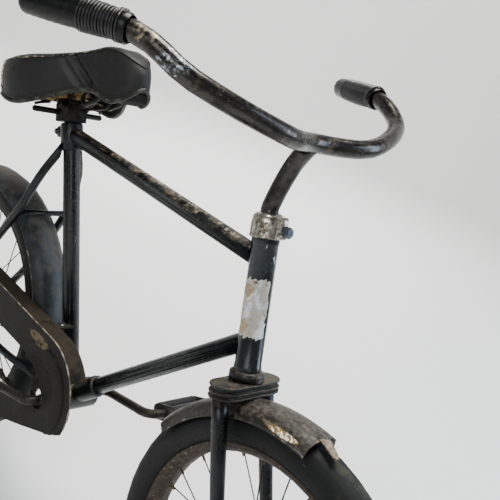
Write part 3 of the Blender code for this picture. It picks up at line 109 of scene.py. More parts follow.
# %% Axles, head tube and saddle directions
SIDE, UP = Vector((0, 1, 0)), Vector((0, 0, 1))
SIDES = ((1, "left"), (-1, "right"))
MM = 0.001
joints = {joint["name"]: joint for joint in frame["joints"]}
ENDS = [(end, Vector(joints[end + "_wheel_spin"]["pos_m"])) for end in ("front", "rear")]
front_axle = ENDS[0][1]
steering_axis = Vector(joints["steering_turn"]["axis"]).normalized()
head_foot = Vector(joints["steering_turn"]["pos_m"])
head_ahead = SIDE.cross(steering_axis).normalized()
mounts = {mount["name"]: mount for mount in frame["record"]["mounts"]}
saddle_up = Vector(mounts["rider"]["axis"]).normalized()
saddle_ahead = SIDE.cross(saddle_up).normalized()
wheel_radius = front_axle.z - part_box("front_wheel_tyre")[0].z
head_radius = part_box("head_tube")[1].y
print("wheel radius", round(wheel_radius, 4), "head tube radius", round(head_radius, 4))


def mm(x, y, z):
    """A vector in metres from millimetres."""
    return Vector((x, y, z)) * MM


# %% [markdown]
# ## Colours and nodes
#
# Colours are written as hex codes, and Blender works in linear light, so one function turns them.
# Another adds a shader node with its settings and links, which is all that the materials need.

# %% Helpers for materials
def linear(code):
    """An sRGB hex code as linear red, green, blue and alpha."""
    parts = [int(code[i : i + 2], 16) / 255 for i in (0, 2, 4)]
    return (*[p / 12.92 if p <= 0.04045 else ((p + 0.055) / 1.055) ** 2.4 for p in parts], 1.0)


def plug(tree, socket, value):
    """Gives an input its value, or links it to the output of another node."""
    if isinstance(value, bpy.types.NodeSocket):
        tree.links.new(value, socket)
    else:
        socket.default_value = value


def add(tree, kind, inputs=None, out=0, **settings):
    """One shader node with its settings and links. It answers with the output that is wanted."""
    made = tree.nodes.new("ShaderNode" + kind)
    for name, value in settings.items():
        setattr(made, name, value)
    for key, value in (inputs or {}).items():
        plug(tree, made.inputs[key], value)
    return made.outputs[out]


# %% [markdown]
# ## Weathering in layers
#
# An old surface is a ground with thin layers over it: a cloud of tarnish, dust where it can lie,
# scratches, chips down to rust. Each could be painted by hand, but a layer that comes in where a
# noise passes two limits covers the whole bicycle and has no seams. It can lean towards something:
# dust leans upwards, and a scrape to its spot. Each layer changes colour, gloss and height.

# %% A layer, and what it leans towards
class Layer(NamedTuple):
    """What lies on a surface: its look, its grain in millimetres and the noise's two limits."""

    colour: str
    roughness: float
    grain: float
    low: float
    high: float
    metallic: float = 0.0
    height: float = 0.0
    stretch: tuple = (1, 1, 1)
    lean: object = None


def facing(weight, direction=UP):
    """Leans to the faces that look up, or another way."""

    def lean(tree, place, normal):
        dot = add(tree, "VectorMath", {0: normal, 1: direction}, "Value", operation="DOT_PRODUCT")
        return add(tree, "Math", {0: dot, 1: weight}, operation="MULTIPLY")

    return lean


def near(centre, radii, turn=0.0, core=0.55):
    """Leans to a spot: an ellipsoid turned about the Y axis, full inside its core."""

    def lean(tree, place, normal):
        spot = {"Vector": place, "Location": centre, "Rotation": (0, turn, 0), "Scale": radii}
        local = add(tree, "Mapping", spot, vector_type="TEXTURE")
        far = add(tree, "VectorMath", {0: local}, "Value", operation="LENGTH")
        return add(tree, "MapRange", {0: far, 1: core, 4: -1})

    return lean


def from_axle(tree, place, axle):
    """A point as seen from a wheel's middle, and its distance from the axle."""
    local = add(tree, "Mapping", {"Vector": place, "Location": -axle})
    flat = add(tree, "VectorMath", {0: local, 1: (1, 0, 1)}, operation="MULTIPLY")
    return local, add(tree, "VectorMath", {0: flat}, "Value", operation="LENGTH")


def beyond(axle, radius, fade):
    """Leans to what is further from a wheel's axle than a radius, or nearer if fade is negative."""

    def lean(tree, place, normal):
        _, far = from_axle(tree, place, axle)
        return add(tree, "MapRange", {0: far, 1: radius - fade, 2: radius + fade, 3: -1, 4: 0})

    return lean


# %% A material built from a ground and its layers
LAYER_SHIFT = 0.37  # metres between the noises of two layers, so that they don't repeat each other
NOISE_START = (0.11, 0.23)
GRAIN_LOW, GRAIN_HIGH = 0.3, 0.7  # what the grain's noise spans
GLOSS_SPREAD = 0.07  # how far the grain moves the roughness up and down
COAT_ROUGHNESS = 0.25


def weathered(
    name, ground, roughness, *layers, metallic=0.0, coat=0.0, specular=0.5, grain=(2.0, 0.02), relief=None
):
    """A ground's colour and gloss, the layers over it, its grain's size and height, and a relief."""
    made = bpy.data.materials.new(name)
    made.use_nodes = True
    tree = made.node_tree
    place = add(tree, "TexCoord", out="Object")
    normal = place.node.outputs["Normal"]
    fine = add(tree, "TexNoise", {"Vector": place, "Scale": 1 / (grain[0] * MM), "Detail": 3.0})
    colour, metal = linear(ground), metallic
    gloss = {1: GRAIN_LOW, 2: GRAIN_HIGH, 3: roughness - GLOSS_SPREAD, 4: roughness + GLOSS_SPREAD}
    shine = add(tree, "MapRange", {0: fine, **gloss})
    height = add(tree, "Math", {0: fine, 1: grain[1]}, operation="MULTIPLY")
    for number, layer in enumerate(layers):
        start = {"Location": (LAYER_SHIFT * number, *NOISE_START), "Scale": [1 / s for s in layer.stretch]}
        moved = add(tree, "Mapping", {"Vector": place, **start})
        texture = {"Scale": 1 / (layer.grain * MM), "Detail": 4.0, "Roughness": 0.6}
        cloud = add(tree, "TexNoise", {"Vector": moved, **texture})
        if layer.lean:
            cloud = add(tree, "Math", {0: cloud, 1: layer.lean(tree, place, normal)}, operation="ADD")
        limits = {0: cloud, 1: layer.low, 2: layer.high}
        mask = add(tree, "MapRange", limits, interpolation_type="SMOOTHSTEP")
        colour = add(tree, "MixRGB", {0: mask, 1: colour, 2: linear(layer.colour)})
        shine = add(tree, "Mix", {0: mask, 2: shine, 3: layer.roughness})
        if metallic != layer.metallic:
            metal = add(tree, "Mix", {0: mask, 2: metal, 3: layer.metallic})
        if layer.height:
            height = add(tree, "Math", {0: mask, 1: layer.height, 2: height}, operation="MULTIPLY_ADD")
    if relief:
        height = add(tree, "Math", {0: height, 1: relief(tree, place)}, operation="ADD")
    bump = add(tree, "Bump", {"Height": height, "Distance": MM})
    surface = {"Base Color": colour, "Metallic": metal, "Roughness": shine, "Normal": bump}
    clear = {"Specular IOR Level": specular, "Coat Weight": coat, "Coat Roughness": COAT_ROUGHNESS}
    for key, value in {**surface, **clear}.items():
        plug(tree, tree.nodes["Principled BSDF"].inputs[key], value)
    print("finish", name, "with", len(layers), "layers")
    return made


# %% [markdown]
# ## Black stove enamel
#
# The tubes were dipped in black enamel and baked, which gave a deep, slightly wavy gloss. Since
# then the black has faded to blue-grey in clouds, brown dust lies on what faces up, and chips show
# pale undercoat or rust. Top tube and seat tube have a painted highlight along the top, cream by the head.

# %% The enamels of frame, fork and head tube
RUST = "2C1D15"
faded_clouds = Layer("10161A", 0.42, 45, 0.46, 0.66)
fine_scratches = Layer("6E7070", 0.5, 3.4, 0.71, 0.75, stretch=(1, 1, 3))
rust_chips = Layer(RUST, 0.9, 6, 0.66, 0.71, height=-0.08)
tube_low, tube_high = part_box("top_tube")
head_highlight_spot = Vector((tube_high.x, 0, tube_low.z)) + mm(0, -4, 24)  # painted cream highlight by the head
stove_enamel = weathered(
    "black_stove_enamel", "05070A", 0.30,
    faded_clouds,
    Layer("3C372F", 0.85, 16, 0.68, 0.90, lean=facing(0.20)),
    fine_scratches, Layer("7A746A", 0.6, 3.0, 0.70, 0.75), rust_chips,
    specular=0.3,
)
dusty_enamel = weathered(
    "dusty_stove_enamel", "07090A", 0.36,
    faded_clouds,
    Layer("4A4339", 0.85, 9, 0.58, 0.84, lean=facing(0.26)),
    Layer("7C7569", 0.6, 4, 0.70, 0.76, lean=facing(0.05)),
    rust_chips,
    specular=0.3,
)
enamel_with_painted_highlight = weathered(
    "stove_enamel_painted_highlight", "06080A", 0.30,
    faded_clouds,
    Layer("3F392F", 0.7, 18, 0.62, 0.88, lean=facing(0.26)),
    # painted highlight along the top, on the faces that look up
    Layer("8B7F6C", 0.5, 7, 0.70, 0.98, lean=facing(0.28)),
    # painted cream highlight by the head
    Layer("CBBEA6", 0.5, 4, 0.50, 0.64, lean=near(head_highlight_spot, mm(44, 9, 20), core=0.3)),
    fine_scratches, rust_chips,
    specular=0.3,
)
scratched_enamel = weathered(
    "scratched_stove_enamel", "060B0F", 0.19,
    Layer("0F191F", 0.30, 30, 0.46, 0.64),
    Layer("2C3842", 0.35, 9, 0.60, 0.74, stretch=(1, 1, 4)),
    Layer("AEB6BC", 0.4, 6, 0.67, 0.72, stretch=(1, 1, 5), height=-0.06),
    rust_chips,
    specular=0.35,
)

# %% [markdown]
# ## Nickel plate
#
# Handlebar, stem and collar are steel with nickel over it. Nickel clouds and pits where the steel
# rusts through. A metal's colour is its reflection, so tarnish is a darker, duller metal, and only
# rust isn't one. Two spots on the handlebar are painted highlights: cream by the grip, blue-white further in.

# %% Two ages of nickel
bar_near_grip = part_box("grip_right")[1]
print("bar near grip", [round(v, 3) for v in bar_near_grip])
# Painted highlights on the handlebar: a cream one by the grip, a blue-white one further in.
cream_highlight_by_grip = near(bar_near_grip + mm(14, -14, -10), mm(28, 30, 26), core=0.4)
blue_white_highlight = near(bar_near_grip + mm(50, -2, -26), mm(44, 40, 30), core=0.4)
tarnished_highlit_nickel = weathered(
    "tarnished_nickel_plate_painted_highlights", "3B3A38", 0.24,
    Layer("232120", 0.36, 34, 0.42, 0.66, 0.95),
    Layer("5A5247", 0.30, 14, 0.54, 0.76, 1.0, lean=facing(0.06)),
    Layer("8E8B86", 0.20, 6, 0.66, 0.82, 1.0, lean=facing(0.07)),
    Layer("978A70", 0.34, 6, 0.42, 0.72, 0.45, lean=cream_highlight_by_grip),
    Layer("96A1AB", 0.28, 4, 0.46, 0.74, 0.50, lean=blue_white_highlight),
    Layer("1E1813", 0.8, 4.5, 0.64, 0.70, 0.3, height=-0.10),
    metallic=1.0, grain=(4.0, 0.06),
)
bright_nickel = weathered(
    "pitted_bright_nickel", "9C978D", 0.27,
    Layer("5A5348", 0.42, 8, 0.46, 0.62, 1.0),
    Layer("DEDCD8", 0.18, 5, 0.54, 0.66, 1.0),
    Layer("33291F", 0.7, 3.2, 0.56, 0.63, 0.4, height=-0.20),
    metallic=1.0, grain=(3.0, 0.06),
)

# %% [markdown]
# ## Mudguards and chain guard
#
# The guards were enamelled too, but thin sheet flexes and sheds its paint. The front one is a
# dusty grey-brown, and something has scraped its right shoulder down to yellow, brassy metal. The
# rear one keeps its blue-black, under brown dust on the crest. The chain guard is a dull brown,
# with a tan patch of dust and painted highlight on the shoulder of its ridge.

# %% The front guard's paint
SCRAPE_TURN = math.radians(-9)
scrape = near(front_axle + mm(-36, -26, 214), mm(56, 16, 7), SCRAPE_TURN, 0.4)
scrape_head = near(front_axle + mm(-27, -26, 214), mm(46, 16, 9), SCRAPE_TURN, 0.4)
bent_tip = near(front_axle + mm(22, -8, 226), mm(20, 18, 8), core=0.8)
front_guard_paint = weathered(
    "scraped_guard_enamel", "131210", 0.42,
    Layer("2A2722", 0.6, 30, 0.44, 0.66, lean=facing(0.08)),
    Layer("5C5449", 0.6, 5, 0.48, 0.90, lean=facing(0.10)),
    Layer(RUST, 0.9, 8, 0.64, 0.70),
    Layer("6E6250", 0.40, 6, 0.30, 0.55, 0.5, lean=scrape),
    Layer("B8934A", 0.35, 3.2, 0.44, 0.54, 0.8, height=-0.05, lean=scrape_head),
    Layer("FBF3E2", 0.3, 3.0, 0.49, 0.56, 0.2, stretch=(1, 1, 1.6), lean=scrape_head),
    Layer("877965", 0.75, 3.5, 0.30, 0.62, lean=bent_tip),
    Layer("8C8478", 0.6, 4, 0.70, 0.74),
    specular=0.35, grain=(3.0, 0.05),
)

# %% The rear guard's and the chain guard's paint
case_low, case_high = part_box("chain_guard")
CASE_LOBE = mm(81, 0, 84)  # the chain guard's round front: half its length and height
case_centre = Vector((case_high.x - CASE_LOBE.x, case_low.y, case_high.z - CASE_LOBE.z))
# dust and painted highlight on the upper shoulder of the pressed ridge
case_shoulder_highlight = near(case_centre + mm(-26, 0, 65), mm(44, 12, 13))
rear_guard_paint = weathered(
    "dusty_guard_enamel", "0E1215", 0.50,
    Layer("2A3235", 0.45, 50, 0.40, 0.64, stretch=(1, 1, 3)),
    Layer("45403A", 0.8, 14, 0.72, 1.10, lean=facing(0.50)),
    Layer("3F3C37", 0.8, 5, 0.69, 0.78, stretch=(1, 1, 2)),
    Layer(RUST, 0.9, 9, 0.67, 0.73),
    specular=0.3, grain=(3.0, 0.04),
)
guard_case_paint = weathered(
    "chain_guard_enamel", "060504", 0.55,
    Layer("0B0906", 0.6, 30, 0.44, 0.64),
    Layer("2B251C", 0.85, 14, 0.60, 0.84, lean=facing(0.32)),
    Layer("242018", 0.8, 7, 0.62, 0.76, stretch=(2, 1, 1)),
    Layer("6A6257", 0.5, 4, 0.72, 0.76),
    Layer("21160F", 0.9, 10, 0.62, 0.68, height=-0.06),
    Layer("5C5240", 0.85, 9, 0.34, 0.54, lean=case_shoulder_highlight),
    specular=0.15, grain=(3.0, 0.05),
)

# %% [markdown]
# ## Rubber
#
# The tyres are moulded black rubber, gone hard and grey. Moulding leaves ribs round the tread and
# rings on the sidewalls, which the bump draws from a point's distance to the axle and to the
# wheel's middle plane. Grips and pedal blocks are darker, because hands and shoes rub them.

# %% Tyres with ribs, grips and pedal rubber
RIB = 5.5  # millimetres from rib to rib across the tread; finer ones would not show
RING = 4.0  # millimetres from ring to ring on the sidewall
GROOVE = 0.06  # millimetres that ribs and rings rise and fall
TREAD_FROM, TREAD_TO = wheel_radius - 9 * MM, wheel_radius - 6 * MM  # where rings give way to ribs


def tyre_relief(axle):
    """Ribs round the tread and rings on the sidewalls, in millimetres."""

    def waves(tree, along, pitch):
        turns = add(tree, "Math", {0: along, 1: math.tau / (pitch * MM)}, operation="MULTIPLY")
        return add(tree, "Math", {0: turns}, operation="COSINE")

    def relief(tree, place):
        local, far = from_axle(tree, place, axle)
        across = add(tree, "SeparateXYZ", {0: local}, "Y")
        tread = add(tree, "MapRange", {0: far, 1: TREAD_FROM, 2: TREAD_TO})
        chosen = add(tree, "Mix", {0: tread, 2: waves(tree, far, RING), 3: waves(tree, across, RIB)})
        return add(tree, "Math", {0: chosen, 1: GROOVE}, operation="MULTIPLY")

    return relief


def tyre_rubber(end, axle):
    """Black rubber, dustier on the tread than on the sidewalls."""
    return weathered(
        end + "_tyre_rubber", "040606", 0.58,
        Layer("0C0F0F", 0.70, 45, 0.42, 0.66),
        Layer("33332D", 0.9, 18, 0.40, 0.66, lean=beyond(axle, wheel_radius - 7 * MM, 6 * MM)),
        Layer("26261F", 0.9, 12, 0.62, 0.80),
        Layer("3C3A34", 0.9, 3.5, 0.70, 0.75),
        specular=0.2, grain=(3.0, 0.05), relief=tyre_relief(axle),
    )


front_tyre_rubber, rear_tyre_rubber = (tyre_rubber(*end) for end in ENDS)
grip_rubber = weathered(
    "polished_grip_rubber", "020303", 0.30,
    Layer("080A0B", 0.40, 12, 0.48, 0.62),
    Layer("2A2A27", 0.8, 3.5, 0.70, 0.78, lean=facing(0.04)),
    specular=0.2,
)
pedal_rubber = weathered(
    "scuffed_pedal_rubber", "0B0C0B", 0.6,
    Layer("24221E", 0.85, 8, 0.52, 0.72, lean=facing(0.05)),
    Layer("060707", 0.5, 5, 0.62, 0.70),
    specular=0.3, grain=(3.0, 0.10),
)

# %% [markdown]
# ## Steel that was never painted well
#
# Rims, spokes and hubs share one solid in each wheel, so one material tells them apart by how far
# they are from the axle. Chain and chainring carry old oil, which holds dirt and keeps rust brown.

# %% Wheel steel, chain steel and dull fittings
def wheel_steel(end, axle):
    """Rust on the rim, dark wire between, and grease near the hub."""
    rim = beyond(axle, wheel_radius - 58 * MM, 2 * MM)
    hub = beyond(axle, 30 * MM, -3 * MM)
    return weathered(
        end + "_rusted_wheel_steel", "1E1B18", 0.5,
        Layer("2A211A", 0.75, 10, 0.30, 0.42, 0.3, lean=rim),
        Layer("3F352A", 0.8, 7, 0.46, 0.68, 0.2, lean=rim),
        Layer("6A6257", 0.4, 6, 0.62, 0.72, 0.9, lean=rim),
        Layer("15120F", 0.55, 9, 0.30, 0.44, 0.5, lean=hub),
        Layer("3F3122", 0.8, 5, 0.62, 0.68),
        metallic=0.8, grain=(3.0, 0.06),
    )


front_wheel_steel, rear_wheel_steel = (wheel_steel(*end) for end in ENDS)
oily_steel = weathered(
    "oily_chain_steel", "2B2520", 0.5,
    Layer("4A3524", 0.8, 6, 0.50, 0.64, 0.3),
    Layer("14110E", 0.45, 9, 0.52, 0.66, 0.5),
    Layer("7A7166", 0.4, 4, 0.66, 0.72, 0.9),
    metallic=0.8, grain=(2.5, 0.08),
)
crank_nickel = weathered(
    "worn_crank_nickel", "35322D", 0.42,
    Layer("1E1B18", 0.6, 14, 0.42, 0.60, 0.6),
    Layer("706B62", 0.3, 8, 0.64, 0.72, 1.0),
    Layer("2E2018", 0.85, 6, 0.60, 0.68, 0.2, height=-0.08),
    metallic=0.95, grain=(3.0, 0.05),
)
dull_steel = weathered(
    "dull_black_steel", "121110", 0.5,
    Layer("241B14", 0.85, 7, 0.54, 0.68, 0.3, height=0.05),
    Layer("4A453D", 0.5, 4, 0.66, 0.72, 0.9),
    metallic=0.7, grain=(2.5, 0.06),
)
bolt_steel = weathered(
    "blued_bolt_steel", "3E464D", 0.40,
    Layer("6A737A", 0.35, 6, 0.52, 0.66, 0.95),
    Layer("2A2019", 0.8, 4, 0.60, 0.68, 0.2),
    metallic=0.9,
)

# %% [markdown]
# ## Dress the model's own nodes
#
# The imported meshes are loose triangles, so smooth shading has nothing to smooth across. A copy is
# merged, shaded smooth up to a sharp angle, and stands for the node. Pressed and cast pieces have
# soft edges, which catch the light as a thin bright line, so they get a small bevel as well.

# %% Which finish each node gets
PEDAL_BLOCKS = "pedal_block_left_front pedal_block_left_back pedal_block_right_front pedal_block_right_back"
FINISHES = {
    dusty_enamel: "fork_crown lower_head_cup bracket_shell bracket_lug",
    stove_enamel: "fork_blade_left fork_blade_right down_tube seat_lug seat_stay_left seat_stay_right"
    " chain_stay_left chain_stay_right seat_stay_bridge chain_stay_bridge left_bracket_cup right_bracket_cup",
    enamel_with_painted_highlight: "top_tube seat_tube",
    scratched_enamel: "head_tube",
    tarnished_highlit_nickel: "handlebar stem",
    front_guard_paint: "front_mudguard",
    rear_guard_paint: "rear_mudguard",
    guard_case_paint: "chain_guard chain_guard_tab chain_guard_clip",
    front_tyre_rubber: "front_wheel_tyre",
    rear_tyre_rubber: "rear_wheel_tyre",
    front_wheel_steel: "front_wheel_wires",
    rear_wheel_steel: "rear_wheel_wires",
    oily_steel: "chain rear_sprocket",
    crank_nickel: "crank chainring pedal_cage_left pedal_cage_right",
    dull_steel: "seat_post saddle_clamp saddle_bar saddle_spring_left saddle_spring_right saddle_nose_wire"
    " front_axle rear_axle guard_stay_left guard_stay_right",
    grip_rubber: "grip_left grip_right",
    pedal_rubber: PEDAL_BLOCKS,
}
# Bevels in millimetres.
SOFT_EDGES = {"fork_crown": 0.5, "chain_guard": 0.4, **dict.fromkeys(PEDAL_BLOCKS.split(), 1.5)}
WORN_DOWN = ("grip_left", "grip_right")  # hands have worn the ribs low
MERGE = 1e-6  # metres
print(len(SOFT_EDGES), "nodes with soft edges")


# %% Copies that stand for the nodes
def placed(name, data):
    """A new object, unturned at the origin."""
    made = bpy.data.objects.new(name, data)
    bpy.context.scene.collection.objects.link(made)
    return made


def as_mesh(bm, name):
    """A bmesh written into a new mesh."""
    mesh = bpy.data.meshes.new(name)
    bm.to_mesh(mesh)
    bm.free()
    return mesh


def keep(mesh, name, material, slot, smooth_angle=38):
    """Links a finished mesh as a piece that rides with the body of the node named by slot."""
    mesh.shade_smooth()
    mesh.set_sharp_from_angle(angle=math.radians(smooth_angle))
    mesh.materials.clear()
    mesh.materials.append(material)
    made = placed(name, mesh)
    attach(made, body_of[slot])
    return made


def keep_bmesh(bm, name, material, slot, smooth_angle=38):
    """The same from a bmesh, with its faces turned outwards first."""
    bmesh.ops.recalc_face_normals(bm, faces=bm.faces)
    return keep(as_mesh(bm, name), name, material, slot, smooth_angle)


def dress(node, material):
    """A merged, smooth copy of a node stands for it."""
    bm = bmesh.new()
    bm.from_mesh(nodes[node].data)
    bmesh.ops.remove_doubles(bm, verts=bm.verts, dist=MERGE)
    if node in WORN_DOWN:
        every_way = {"use_axis_" + way: True for way in "xyz"}
        bmesh.ops.smooth_vert(bm, verts=bm.verts, factor=0.5, **every_way)
    if node in SOFT_EDGES:
        bmesh.ops.dissolve_limit(bm, angle_limit=math.radians(1), verts=bm.verts, edges=bm.edges)
    name = "finished_" + node
    made = keep(as_mesh(bm, name), name, material, node)
    if node in SOFT_EDGES:
        soft = made.modifiers.new("soft_edges", "BEVEL")
        soft.width = SOFT_EDGES[node] * MM
        soft.segments = 2
        soft.limit_method = "ANGLE"
        soft.angle_limit = math.radians(40)
    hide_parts(node)


dressed = set()
for finish, members in FINISHES.items():
    for member in members.split():
        dress(member, finish)
        dressed.add(member)
print("still to be replaced:", sorted(set(nodes) - dressed))

# %% [markdown]
# The grips are ribbed, and hands have worn the ribs down except where the thumb doesn't reach: near
# the inner end on the right, and nearly everywhere on the left. A rib is a ring spun about the
# grip's own long axis, which is found by the power method from the points of its mesh.

# %% Ribs on the grips
RIB_PITCH, RIB_RADIUS, FIRST_RIB = 3.4, 0.75, 9  # millimetres
RIB_SUNK = 0.35  # millimetres from a rib's middle down into the grip
RIB_REACH = 5  # millimetres along the grip in which its thickness is measured


def long_axis(points, middle):
    """The direction in which points lie furthest apart, towards the front."""
    axis = Vector((1, 1, 1))
    for _ in range(30):
        axis = sum(((p - middle) * (p - middle).dot(axis) for p in points), Vector()).normalized()
    return axis if axis.x > 0 else -axis


# Pale on the ribs' upper sides: dust, and a painted highlight.
rib_rubber = weathered(
    "rib_rubber_dust_and_painted_highlight", "0E0F0F", 0.35, Layer("A39C8C", 0.5, 7, 0.68, 0.92, lean=facing(0.20))
)
for node, reach in (("grip_right", 46), ("grip_left", 84)):  # millimetres from its inner end
    points = [corner.co for corner in bpy.data.objects["finished_" + node].data.vertices]
    middle = sum(points, Vector()) / len(points)
    axis = long_axis(points, middle)
    out = axis.orthogonal().normalized()
    turn = Matrix((out, axis, out.cross(axis))).transposed().to_4x4()
    inner_end = max((p - middle).dot(axis) for p in points)
    bm = bmesh.new()
    for step in range(int(reach / RIB_PITCH)):
        centre = middle + axis * (inner_end - (FIRST_RIB + step * RIB_PITCH) * MM)
        close = [p - centre for p in points if abs((p - centre).dot(axis)) < RIB_REACH * MM]
        radius = max((p - axis * p.dot(axis)).length for p in close) - RIB_SUNK * MM
        place = Matrix.Translation(centre + out * radius) @ turn
        ring = bmesh.ops.create_circle(bm, segments=6, radius=RIB_RADIUS * MM, matrix=place)["verts"]
        edges = list({edge for corner in ring for edge in corner.link_edges})
        turned = {"cent": centre, "axis": axis, "angle": math.tau, "steps": 40}
        bmesh.ops.spin(bm, geom=ring + edges, use_merge=True, **turned)
    bmesh.ops.remove_doubles(bm, verts=bm.verts, dist=MERGE)
    print(node, "has", step + 1, "ribs")
    keep_bmesh(bm, node + "_ribs", rib_rubber, node, 60)

# %% [markdown]
# ## The saddle
#
# The cover is black leather, drawn wet over a padded pan. It is worn and slumped: a deep crease
# runs down each flank where the wide rear turns into the nose, and the edge between top and flank
# is rubbed pale. A cage of rings bridged one to the next gives the form of the model's plain solid,
# a subdivision surface rounds it, and crease, sag and wrinkles are moved into it with formulas,
# because they need no edge of their own. Old leather is stiff, so no cloth is simulated.

# %% The plan of the saddle
POST_BEHIND, POST_BELOW = 20, 72  # millimetres: the post's base behind the seat point, and below it
SADDLE_PLAN = (  # millimetres: ahead of the post, half width, hem above the base, top above the base
    (-83, 0, 18, 61), (-82, 44, 17, 63), (-75, 72, 13, 67), (-55, 87, 9, 70.5), (-20, 90, -4, 71),
    (15, 80, -1, 71.5), (48, 59, 9, 73.5), (78, 43, 16, 78.5), (98, 35, 15, 81), (112, 32, 7, 83.5),
    (126, 29, 0, 83), (146, 23, 3, 75), (160, 14, 12, 64), (166, 0, 19, 56),
)


def saddle_point(ahead, left, up):
    """From millimetres about the post's base to the model's metres."""
    return (saddle_ahead * (ahead - POST_BEHIND) + SIDE * left + saddle_up * (up - POST_BELOW)) * MM


def crest(ahead):
    """The height of the top along the middle line."""
    for (a, _, _, low), (b, _, _, high) in zip(SADDLE_PLAN, SADDLE_PLAN[1:]):
        if ahead <= b:
            return low + (high - low) * max(0, ahead - a) / (b - a)
    return SADDLE_PLAN[-1][3]


def saddle_ring(scale, kind, amount):
    """A closed line round the saddle, scaled towards the seat point."""
    ring = []
    for side, stations in ((1, SADDLE_PLAN), (-1, SADDLE_PLAN[-2:0:-1])):
        for ahead, half, hem, top in stations:
            at = POST_BEHIND + (ahead - POST_BEHIND) * scale
            heights = {"share": hem + (top - hem) * amount, "below": crest(at) - amount, "level": amount}
            ring.append(saddle_point(at, side * half * scale, heights[kind]))
    return ring


print("saddle plan", SADDLE_PLAN[-1][0] - SADDLE_PLAN[0][0], "mm long")

# %% The cage, bridged ring by ring and rounded
CAGE_RINGS = (  # below the crest, then at a share of the way from hem to top, down and up again inside
    (0.25, "below", 0.0), (0.52, "below", 0.4), (0.78, "below", 2.0), (0.93, "below", 6.0),
    (1.0, "share", 0.80), (1.015, "share", 0.42), (0.995, "share", 0.02), (0.955, "share", -0.02),
    (0.92, "share", 0.10), (0.90, "share", 0.42), (0.84, "level", 48),
)


def path(bm, points, closed=False):
    """Corners at points, and the edges from each to the next."""
    corners = [bm.verts.new(point) for point in points]
    return [bm.edges.new(pair) for pair in zip(corners, corners[1:] + corners[: int(closed)])]


def bridge(bm, loops, capped=True):
    """Faces from each loop of edges to the next, and over both ends."""
    for low, high in zip(loops, loops[1:]):
        bmesh.ops.bridge_loops(bm, edges=low + high)
    for end in (loops[0], loops[-1]) if capped else ():
        bmesh.ops.contextual_create(bm, geom=end)


bm = bmesh.new()
bridge(bm, [path(bm, saddle_ring(*row), closed=True) for row in CAGE_RINGS])
bmesh.ops.recalc_face_normals(bm, faces=bm.faces)
cage = placed("cage", as_mesh(bm, "cage"))
smooth = cage.modifiers.new("round", "SUBSURF")
smooth.levels = smooth.render_levels = 3
bpy.context.view_layer.update()
leather = bmesh.new()
leather.from_object(cage, bpy.context.evaluated_depsgraph_get())
bpy.data.objects.remove(cage)
print("saddle:", len(leather.verts), "points,", len(leather.faces), "faces")

# %% [markdown]
# A point of the leather is known by how far it is ahead of, beside and above the seat point. The
# crease is a groove along a slanting line on each flank, with a swelling behind it, and both fade
# at their ends. Noise adds the slump, at the size of a hand, and wrinkles, at that of a finger.

# %% The crease
CREASE_TOP, CREASE_FOOT = Vector((39, -6)), Vector((71, -50))  # mm ahead of and above the seat point
CREASE_DEPTH, CREASE_AHEAD, CREASE_WIDTH = 8.0, 2.0, 5.0
SWELL_HEIGHT, SWELL_BEHIND, SWELL_WIDTH = 4.0, 8.0, 4.5
CREASE_FROM, CREASE_TO, CREASE_FADE = -8, 62, 14  # mm along it: its ends, and how soft they are


def crease_push(ahead, up):
    """How far the flank is pushed in, in millimetres."""
    along = (CREASE_FOOT - CREASE_TOP).normalized()
    at = Vector((ahead, up)) - CREASE_TOP
    aside = at.dot(Vector((along.y, -along.x)))
    reach = at.dot(along)
    ends = [min(1, max(0, rest / CREASE_FADE)) for rest in (reach - CREASE_FROM, CREASE_TO - reach)]
    groove = CREASE_DEPTH * math.exp(-(((aside + CREASE_AHEAD) / CREASE_WIDTH) ** 2))
    swell = SWELL_HEIGHT * math.exp(-(((aside - SWELL_BEHIND) / SWELL_WIDTH) ** 2))
    return ends[0] * ends[1] * (groove - swell)


print("push of the crease half way down", round(crease_push(55, -28), 1), "mm")

# %% Wear moves each point of the leather
FLANK = 22  # millimetres from the middle line, from where on the crease has its full depth
LINING = 1.5  # times as deep as the skin
SAG_DEPTH, SAG_BEHIND, SAG_WIDTH, SAG_LOWEST = 1.6, 25, 1400, -14  # the rider's seat; width squared
SLUMP, DENT, WRINKLE = 1.08, 0.36, 0.54  # millimetres
SLUMPS, DENTS = 24, 70  # to the metre
WRINKLE_SIZE = Vector((9, 30, 16))  # millimetres ahead, aside and up
leather_heart = saddle_point(25, 0, 20)  # inside the cover, so inner faces look towards it
leather.normal_update()
for corner in leather.verts:
    here = corner.co.copy()
    ahead, left, up = here.dot(saddle_ahead) / MM, here.y / MM, here.dot(saddle_up) / MM
    inner = corner.normal.dot(here - leather_heart) < 0
    push = crease_push(ahead, up) * min(1, abs(left) / FLANK) * (LINING if inner else 1)
    slump = noise.noise(here * SLUMPS) * SLUMP + noise.noise(here * DENTS + Vector((3, 1, 2))) * DENT
    cell = [at / size for at, size in zip((ahead, left, up), WRINKLE_SIZE)]
    wrinkle = abs(noise.noise(cell)) * WRINKLE
    off = (ahead + SAG_BEHIND) ** 2 + left**2
    sag = SAG_DEPTH * math.exp(-off / SAG_WIDTH) if up > SAG_LOWEST else 0
    corner.co -= (SIDE * math.copysign(push, left) + saddle_up * sag) * MM
    corner.co += corner.normal * (slump - wrinkle) * MM
leather.normal_update()
leather_surface = BVHTree.FromBMesh(leather)
print("the lowest point is at", round(min(corner.co.z for corner in leather.verts), 3))
